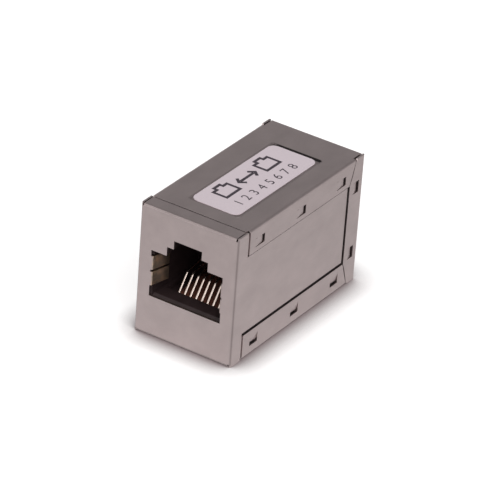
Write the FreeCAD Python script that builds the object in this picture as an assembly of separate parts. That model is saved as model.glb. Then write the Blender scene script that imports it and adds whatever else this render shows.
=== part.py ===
import FreeCAD, Part
import math
import os

# RJ45 inline coupler. Two folded shield shells close round two moulded jacks that stand back to back
# on an upright circuit board, and each jack holds eight sprung contacts in a carrier.
#
# Frame, in millimetres: X across, Y along with the front socket at -Y, Z up. The origin is the centre
# of the footprint, on the surface the coupler rests on. Depths are measured inwards from a socket's
# outer face. The rear jack is the front one turned half a turn about Z.

# ---- Driving dimensions: the box and its sheet ----
WIDTH = 17.2                # over the side walls
LENGTH = 34.0               # from front face to rear face
HEIGHT = 21.6               # from bottom panel to top panel
SHEET = 0.3                 # sheet thickness of both shells
INSIDE_BEND = 0.1           # inside radius of every fold
CORNER_SLIT = 0.15          # between a panel's end and the wall that stands beside it
LAYER_GAP = 0.05            # between the flaps and the locking frame behind them
LIP_DEPTH = 2.45            # top and bottom lips of the front shell
LIP_SEAM = 0.1              # between a lip and the panel that carries on from it

# ---- Side walls ----
STRIP_DEPTH = 2.6           # full-height strip behind the front fold
JOGGLE = 0.5                # run over which the locking frame steps inwards
TONGUE_END_GAP = 0.65       # between the flush tongue and the rear flap
TOP_FLAP = 4.0              # height of the top flap
BOTTOM_FLAP = 4.1           # height of the bottom flap
REAR_FLAP = 3.75            # depth of the rear flap, from the rear face
TOP_SLIT = 0.08             # between the tongue and the top flap
BOTTOM_SLIT = 0.5           # between the tongue and the bottom flap
MITRE_RUN = 1.25            # how far each mitre leans back over a flap's height
MITRE_GAP = 0.1             # between mitred flaps
FRAME_EDGE_GAP = 0.25       # from the locking frame to the panels' inner faces

# ---- Lanced locking tabs ----
TAB_COUNT = 3               # along the top flap, and again along the bottom flap
FIRST_TAB_END = 7.0         # depth of the first window's rear edge
LAST_TAB_GAP = 1.35         # from the last window's rear edge to the rear flap
TOP_TAB = {"length": 2.0, "width": 1.45, "window": 2.4, "lean": 7.5}
BOTTOM_TAB = {"length": 1.25, "width": 2.05, "window": 1.65, "lean": 11.0}
REAR_TAB = {"length": 1.05, "width": 2.0, "window": 1.5, "lean": 12.0}
TOP_TAB_DROP = 2.5          # middle of the top tabs, below the top panel's face
BOTTOM_TAB_RISE = 3.1       # roots of the bottom tabs, above the bottom panel's face
REAR_TAB_SETBACK = 2.7      # roots of the rear tabs, from the rear face
REAR_TAB_RISE = 5.35        # middle of the lower rear tab, above the bottom panel's face
REAR_TAB_DROP = 4.95        # middle of the upper rear tab, below the top panel's face
WINDOW_GAP = 0.1            # clearance of the locking frame's windows round the tabs

# ---- Socket opening, the same in both faces ----
MOUTH_WIDTH = 12.6
MOUTH_BOTTOM = 6.7
MOUTH_HEIGHT = 7.7
SHOULDER_WIDTH = 7.2        # lower step of the latch channel
SHOULDER_HEIGHT = 1.5
KEYWAY_WIDTH = 4.9          # upper step of the latch channel
KEYWAY_HEIGHT = 1.4

# ---- Ground spring leaves, folded in from the sides of the opening ----
LEAF_INSIDE_BEND = 0.15     # inside radius of the leaf's root
LEAF_LEAN = 12.5            # degrees inwards
LEAF_LENGTH = 3.4
LEAF_SLIT = 0.35            # between the two leaves of a side
LEAF_LOWER_NOTCH = 1.75
LEAF_UPPER_NOTCH = 1.05

# ---- Label and its recess in the top panel ----
LABEL_WIDTH = 8.3
LABEL_LENGTH = 21.3
LABEL_CORNER = 1.3
LABEL_THICKNESS = 0.1
LABEL_SIDE_SHIFT = 0.3      # the label sits a little to the right
LABEL_FRONT = 5.7           # depth of the label's front edge
RECESS_DEPTH = 0.12
RECESS_MARGIN = 0.3

# ---- Moulded jack housing ----
HOUSING_SIDE_GAP = 0.25     # to the locking frame
HOUSING_END_GAP = 0.05      # to the face of its shell
HOUSING_PANEL_GAP = 0.08    # to the panels above and below
ROOM_LEDGE = 0.35           # the plug room's sides stand this far inside the sheet's opening
SILL_STEP = 0.4             # and its floor this far above the opening's lower edge
ROOM_DEPTH = 12.2
CHANNEL_GAP = 0.1           # the latch channel is this much larger than the sheet's opening
CATCH_DEPTH = 2.2           # wall that the plug's latch hooks behind
LATCH_ROOM_DEPTH = 11.0
LEAF_POCKET_SIDE = 0.3      # beyond the opening's sides
LEAF_POCKET_GAP = 0.2       # above and below the leaves
LEAF_TIP_GAP = 0.5          # behind the leaves' tips
SILL_DEPTH = 3.0            # front floor of the plug room, before the contact well
LEAD_IN = 0.35              # chamfer along the sill
HOUSING_WALL = 0.9          # ribs and walls round the cored pockets
CORE_COUNT = 3
ROOF_WALL = 1.1             # between the latch channel and the roof's pockets
FLOOR_WALL = 1.0            # between the contact well and the floor's pockets
POST_RADIUS = 0.8           # locating posts that enter the board
POST_LENGTH = 0.7
POST_INSET = 2.1            # from the housing's sides to the posts' middles
POST_DROPS = (5.5, 2.7)     # of the two posts, below the housing's top
POST_GAP = 0.06

# ---- Contact carrier ----
CARRIER_CHEEK = 1.14        # beside the pitch of the outermost contacts
CARRIER_SIDE_GAP = 0.1
CARRIER_FLOOR = 0.7         # under the lower row of contacts
CARRIER_DROP = 0.8          # from the plug room's floor down to the base that the contacts wrap round
CARRIER_NOSE_GAP = 0.6      # from the sill to its front edge
COMB_THICKNESS = 1.9        # upright wall at the back of the plug room
COMB_HEADROOM = 0.1
COMB_SLOT_DEPTH = 1.1
COMB_SLOT_HEIGHT = 3.4
GROOVE_GAP = 0.06           # each side of a contact in its groove
TAIL_RECESS = 0.9           # relief for the other jack's tails

# ---- Contacts ----
CONTACT_COUNT = 8
CONTACT_PITCH = 1.016
CONTACT_WIDTH = 0.46
CONTACT_THICKNESS = 0.28
CONTACT_NOSE_RADIUS = 0.6   # of the wire's middle line
CONTACT_KNEE_RADIUS = 1.2
ROW_DROP = 2.1              # from the plug room's floor down to odd contacts' tails
ROW_STEP = 1.3              # from odd contacts' tails down to even ones'
NOSE_GAP = 0.28             # from the sill to the contacts' noses
RISE_ANGLE = 54.0
KNEE_RISE = 2.1             # of the knees above the plug room's floor
TOP_ANGLE = 10.0
TIP_REACH = 0.7             # of the tips into the comb
JOG_SETBACK = 0.8           # behind the plug room, where even contacts leave the upper row

# ---- Circuit board ----
BOARD_THICKNESS = 1.6
BOARD_SIDE_GAP = 0.4        # its sides stand this far inside the housings' sides
BOARD_EDGE_GAP = 0.75       # and its edges this far inside their top and bottom
TAIL_HOLE_GAP = 0.07        # round a tail's corners
TAIL_END_GAP = 0.1          # tails stop this far inside the board's far face

# ---- Places worked out from the sizes above ----
HALF = WIDTH / 2
FRONT = -LENGTH / 2
REAR = LENGTH / 2
MID = SHEET / 2                                 # outside face to the middle of the sheet
BEND = SHEET + INSIDE_BEND
MID_BEND = MID + INSIDE_BEND
LEAF_MID_BEND = MID + LEAF_INSIDE_BEND
LAYER_STEP = SHEET + LAYER_GAP
PANEL_HALF = HALF - SHEET - CORNER_SLIT
FRAME_OUTER = HALF - LAYER_STEP
FRAME_INNER = FRAME_OUTER - SHEET
FLAP_FRONT = FRONT + STRIP_DEPTH + JOGGLE
TOP_FLAP_EDGE = HEIGHT - TOP_FLAP
REAR_FLAP_FRONT = REAR - REAR_FLAP
MOUTH_TOP = MOUTH_BOTTOM + MOUTH_HEIGHT
SHOULDER_TOP = MOUTH_TOP + SHOULDER_HEIGHT
KEYWAY_TOP = SHOULDER_TOP + KEYWAY_HEIGHT
LEAF_BOTTOM = MOUTH_BOTTOM + LEAF_LOWER_NOTCH
LEAF_TOP = MOUTH_TOP - LEAF_UPPER_NOTCH
LEAF_HEIGHT = (LEAF_TOP - LEAF_BOTTOM - LEAF_SLIT) / 2
RECESS_FLOOR = HEIGHT - RECESS_DEPTH
LABEL_MIDDLE = FRONT + LABEL_FRONT + LABEL_LENGTH / 2
BOARD_FACE = -BOARD_THICKNESS / 2
HOUSING_HALF = FRAME_INNER - HOUSING_SIDE_GAP
POST_X = HOUSING_HALF - POST_INSET
HOUSING_FRONT = FRONT + SHEET + HOUSING_END_GAP
HOUSING_BOTTOM = SHEET + HOUSING_PANEL_GAP
HOUSING_TOP = RECESS_FLOOR - SHEET - HOUSING_PANEL_GAP
ROOM_HALF = MOUTH_WIDTH / 2 - ROOM_LEDGE
ROOM_BOTTOM = MOUTH_BOTTOM + SILL_STEP
ROOM_TOP = MOUTH_TOP + CHANNEL_GAP
ROOM_BACK = FRONT + ROOM_DEPTH
SILL_BACK = FRONT + SILL_DEPTH
UPPER_ROW = ROOM_BOTTOM - ROW_DROP
LOWER_ROW = UPPER_ROW - ROW_STEP
NOSE_MIDDLE = SILL_BACK + NOSE_GAP + CONTACT_THICKNESS / 2 + CONTACT_NOSE_RADIUS
RISE_FOOT = NOSE_MIDDLE - CONTACT_NOSE_RADIUS / math.tan(math.radians(RISE_ANGLE / 2))
KNEE_HEIGHT = ROOM_BOTTOM + KNEE_RISE
KNEE = RISE_FOOT + (KNEE_HEIGHT - UPPER_ROW) / math.tan(math.radians(RISE_ANGLE))
TIP = ROOM_BACK + TIP_REACH
TIP_HEIGHT = KNEE_HEIGHT + (TIP - KNEE) * math.tan(math.radians(TOP_ANGLE))
CARRIER_HALF = CONTACT_COUNT * CONTACT_PITCH / 2 + CARRIER_CHEEK
CARRIER_BOTTOM = LOWER_ROW - CARRIER_FLOOR
CARRIER_TOP = ROOM_BOTTOM - CARRIER_DROP
WELL_HALF = CARRIER_HALF + CARRIER_SIDE_GAP


# ---- Drawing helpers ----
def block(x, y, z):
    """Box between pairs of low and high coordinates."""
    return Part.makeBox(x[1] - x[0], y[1] - y[0], z[1] - z[0], FreeCAD.Vector(x[0], y[0], z[0]))


def in_plane(plane, u, v, w):
    """Point at u, v in a drawing plane, and w along the third axis."""
    places = {"XY": (u, v, w), "YZ": (w, u, v), "XZ": (u, w, v)}
    return FreeCAD.Vector(*places[plane])


def solid_from(edges, plane, low, high):
    """Closed outline drawn at low, extruded along the third axis to high."""
    face = Part.Face(Part.Wire(edges))
    solid = face.extrude(in_plane(plane, 0, 0, high - low))
    return solid if solid.Volume > 0 else solid.reversed()


def prism(points, plane, low, high):
    """Straight-sided outline extruded from low to high along the third axis."""
    corners = [in_plane(plane, u, v, low) for u, v in points]
    edges = [Part.LineSegment(a, b).toShape() for a, b in zip(corners, corners[1:] + corners[:1])]
    return solid_from(edges, plane, low, high)


def direction(start, end):
    """Unit vector between two drawn points, as a pair."""
    length = math.hypot(end[0] - start[0], end[1] - start[1])
    return (end[0] - start[0]) / length, (end[1] - start[1]) / length


def moved(point, heading, along, left):
    """Point moved along a heading and to its left."""
    return (point[0] + heading[0] * along - heading[1] * left,
            point[1] + heading[1] * along + heading[0] * left)


def edge_of_strip(points, radii, left):
    """One side of a strip as (start, middle, end) pieces; middle is None on a straight."""
    pieces = []
    pen = moved(points[0], direction(points[0], points[1]), 0, left)
    for before, corner, after, radius in zip(points, points[1:], points[2:], radii):
        come, leave = direction(before, corner), direction(corner, after)
        turn = math.copysign(1, come[0] * leave[1] - come[1] * leave[0])
        angle = math.acos(come[0] * leave[0] + come[1] * leave[1])
        reach = radius * math.tan(angle / 2)
        centre = moved(corner, come, -reach, turn * radius)
        outwards = direction(centre, corner)
        own_radius = radius - turn * left
        enter = moved(corner, come, -reach, left)
        middle = (centre[0] + outwards[0] * own_radius, centre[1] + outwards[1] * own_radius)
        leave_at = moved(corner, leave, reach, left)
        pieces += [(pen, None, enter), (enter, middle, leave_at)]
        pen = leave_at
    last = moved(points[-1], direction(points[-2], points[-1]), 0, left)
    return pieces + [(pen, None, last)]


def strip(points, radii, thickness, plane, low, high):
    """Folded strip: its middle line follows points, rounded at each inner one, extruded low to high."""
    one = edge_of_strip(points, radii, thickness / 2)
    other = [(c, b, a) for a, b, c in reversed(edge_of_strip(points, radii, -thickness / 2))]
    pieces = one + [(one[-1][2], None, other[0][0])] + other + [(other[-1][2], None, one[0][0])]
    edges = []
    for start, middle, end in pieces:
        a, b = in_plane(plane, *start, low), in_plane(plane, *end, low)
        if middle is None:
            edges.append(Part.LineSegment(a, b).toShape())
        else:
            edges.append(Part.Arc(a, in_plane(plane, *middle, low), b).toShape())
    return solid_from(edges, plane, low, high)


def joined(shapes):
    """One solid from pieces that meet."""
    return shapes[0].fuse(shapes[1:]).removeSplitter()


def both_sides(shapes):
    """The shapes and their mirror images across the middle of the coupler."""
    return shapes + [s.mirror(FreeCAD.Vector(), FreeCAD.Vector(1, 0, 0)) for s in shapes]


def turned(shape):
    """The shape carried from the front socket to the rear one."""
    return shape.rotated(FreeCAD.Vector(), FreeCAD.Vector(0, 0, 1), 180)


def upside_down(shape):
    """The shape mirrored between the top and bottom panels."""
    return shape.mirror(FreeCAD.Vector(0, 0, HEIGHT / 2), FreeCAD.Vector(0, 0, 1))


def rounded_plate(margin, low, high):
    """Plate with the label's outline grown by a margin."""
    half_x, half_y = LABEL_WIDTH / 2 + margin, LABEL_LENGTH / 2 + margin
    middle = FreeCAD.Vector(LABEL_SIDE_SHIFT, LABEL_MIDDLE, 0)
    plate = block((-half_x, half_x), (-half_y, half_y), (low, high)).translated(middle)
    uprights = [e for e in plate.Edges if abs(e.tangentAt(e.FirstParameter).z) > 0.9]
    return plate.makeFillet(LABEL_CORNER + margin, uprights)


# ---- Features that both shells share ----
def stepped_opening(half, bottom, gap, y):
    """Socket opening over a range of Y: plug mouth, latch shoulder and keyway."""
    shoulder, keyway = SHOULDER_WIDTH / 2 + gap, KEYWAY_WIDTH / 2 + gap
    right = [(half, bottom), (half, MOUTH_TOP + gap), (shoulder, MOUTH_TOP + gap),
             (shoulder, SHOULDER_TOP + gap), (keyway, SHOULDER_TOP + gap), (keyway, KEYWAY_TOP + gap)]
    left = [(-u, v) for u, v in reversed(right)]
    return prism(right + left, "XZ", *y)


def ground_leaves():
    """Two spring leaves on each side of the front opening, folded in from its edge."""
    lean = math.radians(LEAF_LEAN)
    edge = MOUTH_WIDTH / 2
    corner = edge - LEAF_MID_BEND * math.tan((math.pi / 2 - lean) / 2)
    root = (edge + SHEET, FRONT + MID)
    fold = (corner, FRONT + MID)
    tip = (corner - LEAF_LENGTH * math.sin(lean), FRONT + MID + LEAF_LENGTH * math.cos(lean))
    leaves = [strip([root, fold, tip], [LEAF_MID_BEND], SHEET, "XY", low, low + LEAF_HEIGHT)
              for low in (LEAF_BOTTOM, LEAF_TOP - LEAF_HEIGHT)]
    return both_sides(leaves)


def tab_places():
    """Each lanced tab of the right-hand side: its sizes, root, and the way its free end points."""
    first_end, last_end = FRONT + FIRST_TAB_END, REAR_FLAP_FRONT - LAST_TAB_GAP
    places = []
    for n in range(TAB_COUNT):
        end = first_end + (last_end - first_end) * n / (TAB_COUNT - 1)
        places.append((TOP_TAB, (end - TOP_TAB["window"], HEIGHT - TOP_TAB_DROP), (1, 0)))
        places.append((BOTTOM_TAB, (end - BOTTOM_TAB["width"] / 2, BOTTOM_TAB_RISE), (0, -1)))
    for height in (REAR_TAB_RISE, HEIGHT - REAR_TAB_DROP):
        places.append((REAR_TAB, (REAR - REAR_TAB_SETBACK, height), (1, 0)))
    return places


def tab_window(tab, root, way, gap, x):
    """Hole that a tab was cut from, over a range of X, grown by a gap."""
    far = (root[0] + way[0] * tab["window"], root[1] + way[1] * tab["window"])
    across = tab["width"] / 2 + gap
    y_half, z_half = (gap, across) if way[0] else (across, gap)
    y = (min(root[0], far[0]) - y_half, max(root[0], far[0]) + y_half)
    z = (min(root[1], far[1]) - z_half, max(root[1], far[1]) + z_half)
    return block(x, y, z)


def bent_tab(tab, root, way):
    """The tab itself: rooted in the flap and pressed inwards towards its free end."""
    lean = math.radians(tab["lean"])
    run, drop = tab["length"] * math.cos(lean), tab["length"] * math.sin(lean)
    slope = SHEET * math.sin(lean), SHEET * math.cos(lean)
    section = [(0, HALF), (run, HALF - drop), (run - slope[0], HALF - drop - slope[1]), (0, HALF - SHEET)]
    half = (tab["width"] - MITRE_GAP) / 2
    if way[0]:
        points = [(x, root[0] + along) for along, x in section]
        return prism(points, "XY", root[1] - half, root[1] + half)
    points = [(x, root[1] - along) for along, x in section]
    return prism(points, "XZ", root[0] - half, root[0] + half)


# ---- Front shell ----
def front_lip():
    """Top lip, folded back from the face between the two side walls."""
    face, panel = FRONT + MID, HEIGHT - MID
    points = [(face, HEIGHT - 2 * BEND), (face, panel), (FRONT + LIP_DEPTH, panel)]
    return strip(points, [MID_BEND], SHEET, "YZ", -PANEL_HALF, PANEL_HALF)


def lip_relief():
    """Stock removed from the face so that the lip can fold between the side walls."""
    return block((SHEET - HALF, HALF - SHEET), (FRONT - 1, FRONT + BEND), (HEIGHT - BEND, HEIGHT + 1))


def locking_frame():
    """Right-hand frame, stepped in behind the flaps, with a window for each tab."""
    low, high = SHEET + FRAME_EDGE_GAP, HEIGHT - SHEET - FRAME_EDGE_GAP
    joint = FRONT + STRIP_DEPTH
    end = REAR - SHEET - FRAME_EDGE_GAP
    step = [(HALF, joint), (FRAME_OUTER, FLAP_FRONT), (FRAME_INNER, FLAP_FRONT), (HALF - SHEET, joint)]
    x = (FRAME_INNER, FRAME_OUTER)
    pieces = []
    for z in ((low, BOTTOM_FLAP), (TOP_FLAP_EDGE, high)):
        pieces += [prism(step, "XY", *z), block(x, (FLAP_FRONT, end), z)]
    pieces.append(block(x, (REAR_FLAP_FRONT, end), (low, high)))
    frame = joined(pieces)
    return frame.cut([tab_window(*place, WINDOW_GAP, (0, HALF)) for place in tab_places()])


def front_shell():
    """Front face with two side walls and two lips, folded from one sheet."""
    points = [(HALF - MID, FRONT + STRIP_DEPTH), (HALF - MID, FRONT + MID),
              (MID - HALF, FRONT + MID), (MID - HALF, FRONT + STRIP_DEPTH)]
    face = strip(points, [MID_BEND, MID_BEND], SHEET, "XY", 0, HEIGHT)
    opening = stepped_opening(MOUTH_WIDTH / 2, MOUTH_BOTTOM, 0, (FRONT - 1, FRONT + BEND))
    face = face.cut([lip_relief(), upside_down(lip_relief()), opening])
    tongue = block((HALF - SHEET, HALF), (FRONT + STRIP_DEPTH, REAR_FLAP_FRONT - TONGUE_END_GAP),
                   (BOTTOM_FLAP + BOTTOM_SLIT, TOP_FLAP_EDGE - TOP_SLIT))
    sides = both_sides([tongue, locking_frame()])
    return joined([face, front_lip(), upside_down(front_lip())] + sides + ground_leaves())


# ---- Rear shell ----
def mitre_waste(height, behind):
    """Waste behind, or before, the right-hand mitre line of a top flap of this height."""
    foot = HEIGHT - height
    start = REAR_FLAP_FRONT + (-MITRE_GAP / 2 if behind else MITRE_GAP / 2)
    line = [(start, foot), (start + MITRE_RUN, HEIGHT), (start + MITRE_RUN, HEIGHT + 1)]
    if behind:
        rest = [(REAR + 1, HEIGHT + 1), (REAR + 1, foot - 1), (start, foot - 1)]
    else:
        rest = [(FRONT, HEIGHT + 1), (FRONT, foot)]
    return prism(line + rest, "YZ", HALF - BEND, HALF + 1)


def side_flap(height):
    """Right-hand flap of this height, folded down from the top panel and mitred at the back."""
    panel, wall = HEIGHT - MID, HALF - MID
    points = [(PANEL_HALF - SHEET, panel), (wall, panel), (wall, HEIGHT - height)]
    flap = strip(points, [MID_BEND], SHEET, "XZ", FLAP_FRONT, REAR_FLAP_FRONT + MITRE_RUN)
    return flap.cut(mitre_waste(height, True))


def rear_flap():
    """Right-hand flap folded forward from the rear face, mitred above and below."""
    face, wall = REAR - MID, HALF - MID
    points = [(PANEL_HALF - SHEET, face), (wall, face), (wall, REAR_FLAP_FRONT)]
    flap = strip(points, [MID_BEND], SHEET, "XY", 0, HEIGHT)
    corner = block((0, HALF - SHEET), (REAR - BEND, REAR + 1), (HEIGHT - BEND, HEIGHT + 1))
    mitres = [mitre_waste(TOP_FLAP, False), upside_down(mitre_waste(BOTTOM_FLAP, False))]
    return flap.cut([corner, upside_down(corner)] + mitres)


def rear_shell():
    """Top panel, rear face and bottom panel in one run, with three flaps on each side."""
    seam = FRONT + LIP_DEPTH + LIP_SEAM
    points = [(seam, HEIGHT - MID), (REAR - MID, HEIGHT - MID), (REAR - MID, MID), (seam, MID)]
    wrap = strip(points, [MID_BEND, MID_BEND], SHEET, "YZ", -PANEL_HALF, PANEL_HALF)
    opening = stepped_opening(MOUTH_WIDTH / 2, MOUTH_BOTTOM, 0, (FRONT - 1, FRONT + BEND))
    wrap = wrap.cut(turned(opening))
    flaps = both_sides([side_flap(TOP_FLAP), upside_down(side_flap(BOTTOM_FLAP)), rear_flap()])
    bulge = rounded_plate(RECESS_MARGIN + RECESS_DEPTH, RECESS_FLOOR - SHEET, HEIGHT - SHEET)
    shell = joined([wrap, bulge] + flaps + [turned(leaf) for leaf in ground_leaves()])
    windows = both_sides([tab_window(*place, 0, (HALF - 2 * SHEET, HALF + 1)) for place in tab_places()])
    recess = rounded_plate(RECESS_MARGIN, RECESS_FLOOR, HEIGHT + 1)
    shell = shell.cut(windows + [recess])
    return joined([shell] + both_sides([bent_tab(*place) for place in tab_places()]))


def label():
    """Rounded paper label lying in the top panel's recess."""
    return rounded_plate(0, RECESS_FLOOR, RECESS_FLOOR + LABEL_THICKNESS)


# ---- Jacks, drawn at the front ----
def cored_pockets():
    """Pockets that leave even walls and ribs in the roof and the floor of the housing."""
    inner = 2 * HOUSING_HALF - HOUSING_WALL * (CORE_COUNT + 1)
    width = inner / CORE_COUNT
    y = (HOUSING_FRONT + CATCH_DEPTH, BOARD_FACE - HOUSING_WALL)
    pockets = []
    for n in range(CORE_COUNT):
        left = -HOUSING_HALF + HOUSING_WALL + n * (width + HOUSING_WALL)
        for z in ((KEYWAY_TOP + CHANNEL_GAP + ROOF_WALL, HOUSING_TOP + 1),
                  (HOUSING_BOTTOM - 1, CARRIER_BOTTOM - FLOOR_WALL)):
            pockets.append(block((left, left + width), y, z))
    return pockets


def jack_housing():
    """Black moulding with the plug room, latch channel, leaf pockets and contact well."""
    body = block((-HOUSING_HALF, HOUSING_HALF), (HOUSING_FRONT, BOARD_FACE), (HOUSING_BOTTOM, HOUSING_TOP))
    mouth = stepped_opening(ROOM_HALF, ROOM_BOTTOM, CHANNEL_GAP, (FRONT, FRONT + CATCH_DEPTH))
    plug_room = block((-ROOM_HALF, ROOM_HALF), (FRONT, ROOM_BACK), (ROOM_BOTTOM, ROOM_TOP))
    latch_half = SHOULDER_WIDTH / 2 + CHANNEL_GAP
    latch_room = block((-latch_half, latch_half), (FRONT + CATCH_DEPTH, FRONT + LATCH_ROOM_DEPTH),
                       (ROOM_BOTTOM, KEYWAY_TOP + CHANNEL_GAP))
    pocket_half = MOUTH_WIDTH / 2 + LEAF_POCKET_SIDE
    leaf_pocket = block((-pocket_half, pocket_half), (FRONT, FRONT + SHEET + LEAF_LENGTH + LEAF_TIP_GAP),
                        (LEAF_BOTTOM - LEAF_POCKET_GAP, LEAF_TOP + LEAF_POCKET_GAP))
    well = block((-WELL_HALF, WELL_HALF), (SILL_BACK, BOARD_FACE), (CARRIER_BOTTOM, ROOM_BOTTOM))
    comb_bay = block((-WELL_HALF, WELL_HALF), (ROOM_BACK, BOARD_FACE), (CARRIER_BOTTOM, ROOM_TOP))
    sill = HOUSING_FRONT + LEAD_IN
    lead_in = prism([(HOUSING_FRONT - 1, ROOM_BOTTOM - LEAD_IN - 1), (sill + 1, ROOM_BOTTOM + 1),
                     (HOUSING_FRONT - 1, ROOM_BOTTOM + 1)], "YZ", -ROOM_HALF, ROOM_HALF)
    body = body.cut([mouth, plug_room, latch_room, leaf_pocket, well, comb_bay, lead_in] + cored_pockets())
    posts = [Part.makeCylinder(POST_RADIUS, POST_LENGTH, FreeCAD.Vector(x, BOARD_FACE, HOUSING_TOP - drop),
                               FreeCAD.Vector(0, 1, 0))
             for x, drop in zip((POST_X, -POST_X), POST_DROPS)]
    return joined([body] + posts)


def contact_x(number):
    """Place across the jack of a contact, number 1 at the right as seen from the front."""
    return ((CONTACT_COUNT + 1) / 2 - number) * CONTACT_PITCH


def contact_carrier():
    """Insert with a grooved base for the contacts and an upright comb for their tips."""
    across = (-CARRIER_HALF, CARRIER_HALF)
    base = block(across, (SILL_BACK + CARRIER_NOSE_GAP, BOARD_FACE), (CARRIER_BOTTOM, CARRIER_TOP))
    comb = block(across, (ROOM_BACK, ROOM_BACK + COMB_THICKNESS), (CARRIER_TOP, ROOM_TOP - COMB_HEADROOM))
    half = CONTACT_WIDTH / 2 + GROOVE_GAP
    seat = UPPER_ROW + CONTACT_THICKNESS / 2
    slot_heights = (TIP_HEIGHT - COMB_SLOT_HEIGHT / 2, TIP_HEIGHT + COMB_SLOT_HEIGHT / 2)
    cuts = []
    for number in range(1, CONTACT_COUNT + 1):
        x = (contact_x(number) - half, contact_x(number) + half)
        cuts.append(block(x, (FRONT, NOSE_MIDDLE + GROOVE_GAP), (0, CARRIER_TOP + 1)))
        cuts.append(block(x, (FRONT, BOARD_FACE + 1), (0, seat)))
        cuts.append(block(x, (ROOM_BACK - 1, ROOM_BACK + COMB_SLOT_DEPTH), slot_heights))
    relief_half = CONTACT_PITCH * CONTACT_COUNT / 2
    cuts.append(block((-relief_half, relief_half), (BOARD_FACE - TAIL_RECESS, BOARD_FACE + 1), (0, seat)))
    return joined([base, comb]).cut(cuts)


def contact(number):
    """Sprung contact: tail through the board, forward run, wrap round the nose, rise and tip."""
    tail_end = BOARD_THICKNESS / 2 - TAIL_END_GAP
    wrap = [(RISE_FOOT, UPPER_ROW), (KNEE, KNEE_HEIGHT), (TIP, TIP_HEIGHT)]
    wrap_radii = [CONTACT_NOSE_RADIUS, CONTACT_KNEE_RADIUS]
    if number % 2:
        points, radii = [(tail_end, UPPER_ROW)] + wrap, wrap_radii
    else:
        leave = ROOM_BACK + JOG_SETBACK
        jog = [(tail_end, LOWER_ROW), (leave + ROW_STEP, LOWER_ROW), (leave, UPPER_ROW)]
        points, radii = jog + wrap, [CONTACT_THICKNESS, CONTACT_THICKNESS] + wrap_radii
    x = contact_x(number)
    return strip(points, radii, CONTACT_THICKNESS, "YZ", x - CONTACT_WIDTH / 2, x + CONTACT_WIDTH / 2)


# ---- Circuit board ----
def circuit_board():
    """Upright board with a hole for every tail and locating post of both jacks."""
    half = HOUSING_HALF - BOARD_SIDE_GAP
    heights = (HOUSING_BOTTOM + BOARD_EDGE_GAP, HOUSING_TOP - BOARD_EDGE_GAP)
    board = block((-half, half), (BOARD_FACE, -BOARD_FACE), heights)
    along = FreeCAD.Vector(0, 1, 0)
    tail_hole = math.hypot(CONTACT_WIDTH, CONTACT_THICKNESS) / 2 + TAIL_HOLE_GAP
    holes = [(tail_hole, contact_x(n), z)
             for n in range(1, CONTACT_COUNT + 1) for z in (UPPER_ROW, LOWER_ROW)]
    holes += [(POST_RADIUS + POST_GAP, x, HOUSING_TOP - drop)
              for x in (POST_X, -POST_X) for drop in POST_DROPS]
    drills = [Part.makeCylinder(radius, BOARD_THICKNESS + 2, FreeCAD.Vector(x, BOARD_FACE - 1, z), along)
              for radius, x, z in holes]
    return board.cut(drills)


# ---- Every piece, one file each ----
def coupler():
    """All pieces by name."""
    pieces = {"front_shell": front_shell(), "rear_shell": rear_shell(), "label": label(),
              "circuit_board": circuit_board()}
    jack = {"jack_housing": jack_housing(), "contact_carrier": contact_carrier()}
    jack.update({"contact_%d" % n: contact(n) for n in range(1, CONTACT_COUNT + 1)})
    for name, shape in jack.items():
        pieces["front_" + name] = shape
        pieces["rear_" + name] = turned(shape)
    return pieces


os.makedirs("parts", exist_ok=True)
for piece_name, piece in coupler().items():
    piece.exportStep("parts/%s.step" % piece_name)
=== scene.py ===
import math
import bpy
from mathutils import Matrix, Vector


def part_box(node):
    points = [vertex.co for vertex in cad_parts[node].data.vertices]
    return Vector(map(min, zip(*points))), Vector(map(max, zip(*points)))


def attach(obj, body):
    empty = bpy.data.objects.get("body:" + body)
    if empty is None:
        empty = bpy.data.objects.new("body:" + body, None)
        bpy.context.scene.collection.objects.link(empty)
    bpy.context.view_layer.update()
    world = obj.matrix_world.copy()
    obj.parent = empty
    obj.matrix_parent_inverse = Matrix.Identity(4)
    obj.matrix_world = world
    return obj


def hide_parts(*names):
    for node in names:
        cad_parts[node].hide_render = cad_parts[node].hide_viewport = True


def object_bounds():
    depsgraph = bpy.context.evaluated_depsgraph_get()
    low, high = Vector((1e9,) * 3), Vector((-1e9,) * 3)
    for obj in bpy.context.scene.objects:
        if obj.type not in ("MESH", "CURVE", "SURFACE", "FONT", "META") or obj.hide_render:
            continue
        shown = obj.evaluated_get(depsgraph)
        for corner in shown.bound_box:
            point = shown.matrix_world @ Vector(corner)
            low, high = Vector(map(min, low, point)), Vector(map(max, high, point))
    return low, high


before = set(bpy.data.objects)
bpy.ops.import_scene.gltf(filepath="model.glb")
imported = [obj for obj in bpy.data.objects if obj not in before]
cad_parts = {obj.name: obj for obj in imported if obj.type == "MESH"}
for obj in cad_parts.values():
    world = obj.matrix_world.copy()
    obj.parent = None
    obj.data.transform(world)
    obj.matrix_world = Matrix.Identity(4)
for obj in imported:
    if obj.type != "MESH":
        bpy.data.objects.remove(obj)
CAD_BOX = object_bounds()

from types import SimpleNamespace

import bmesh
import bpy
import numpy as np
from mathutils import Matrix, Vector

bl_info = {
    "name": "Inline coupler finish",
    "version": (1, 0, 0),
    "blender": (4, 5, 0),
    "location": "View3D > Sidebar > Coupler",
    "description": "Folded shield sheets, sprung contacts, label print and finishes of a cable coupler",
    "category": "Object",
}

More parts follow.
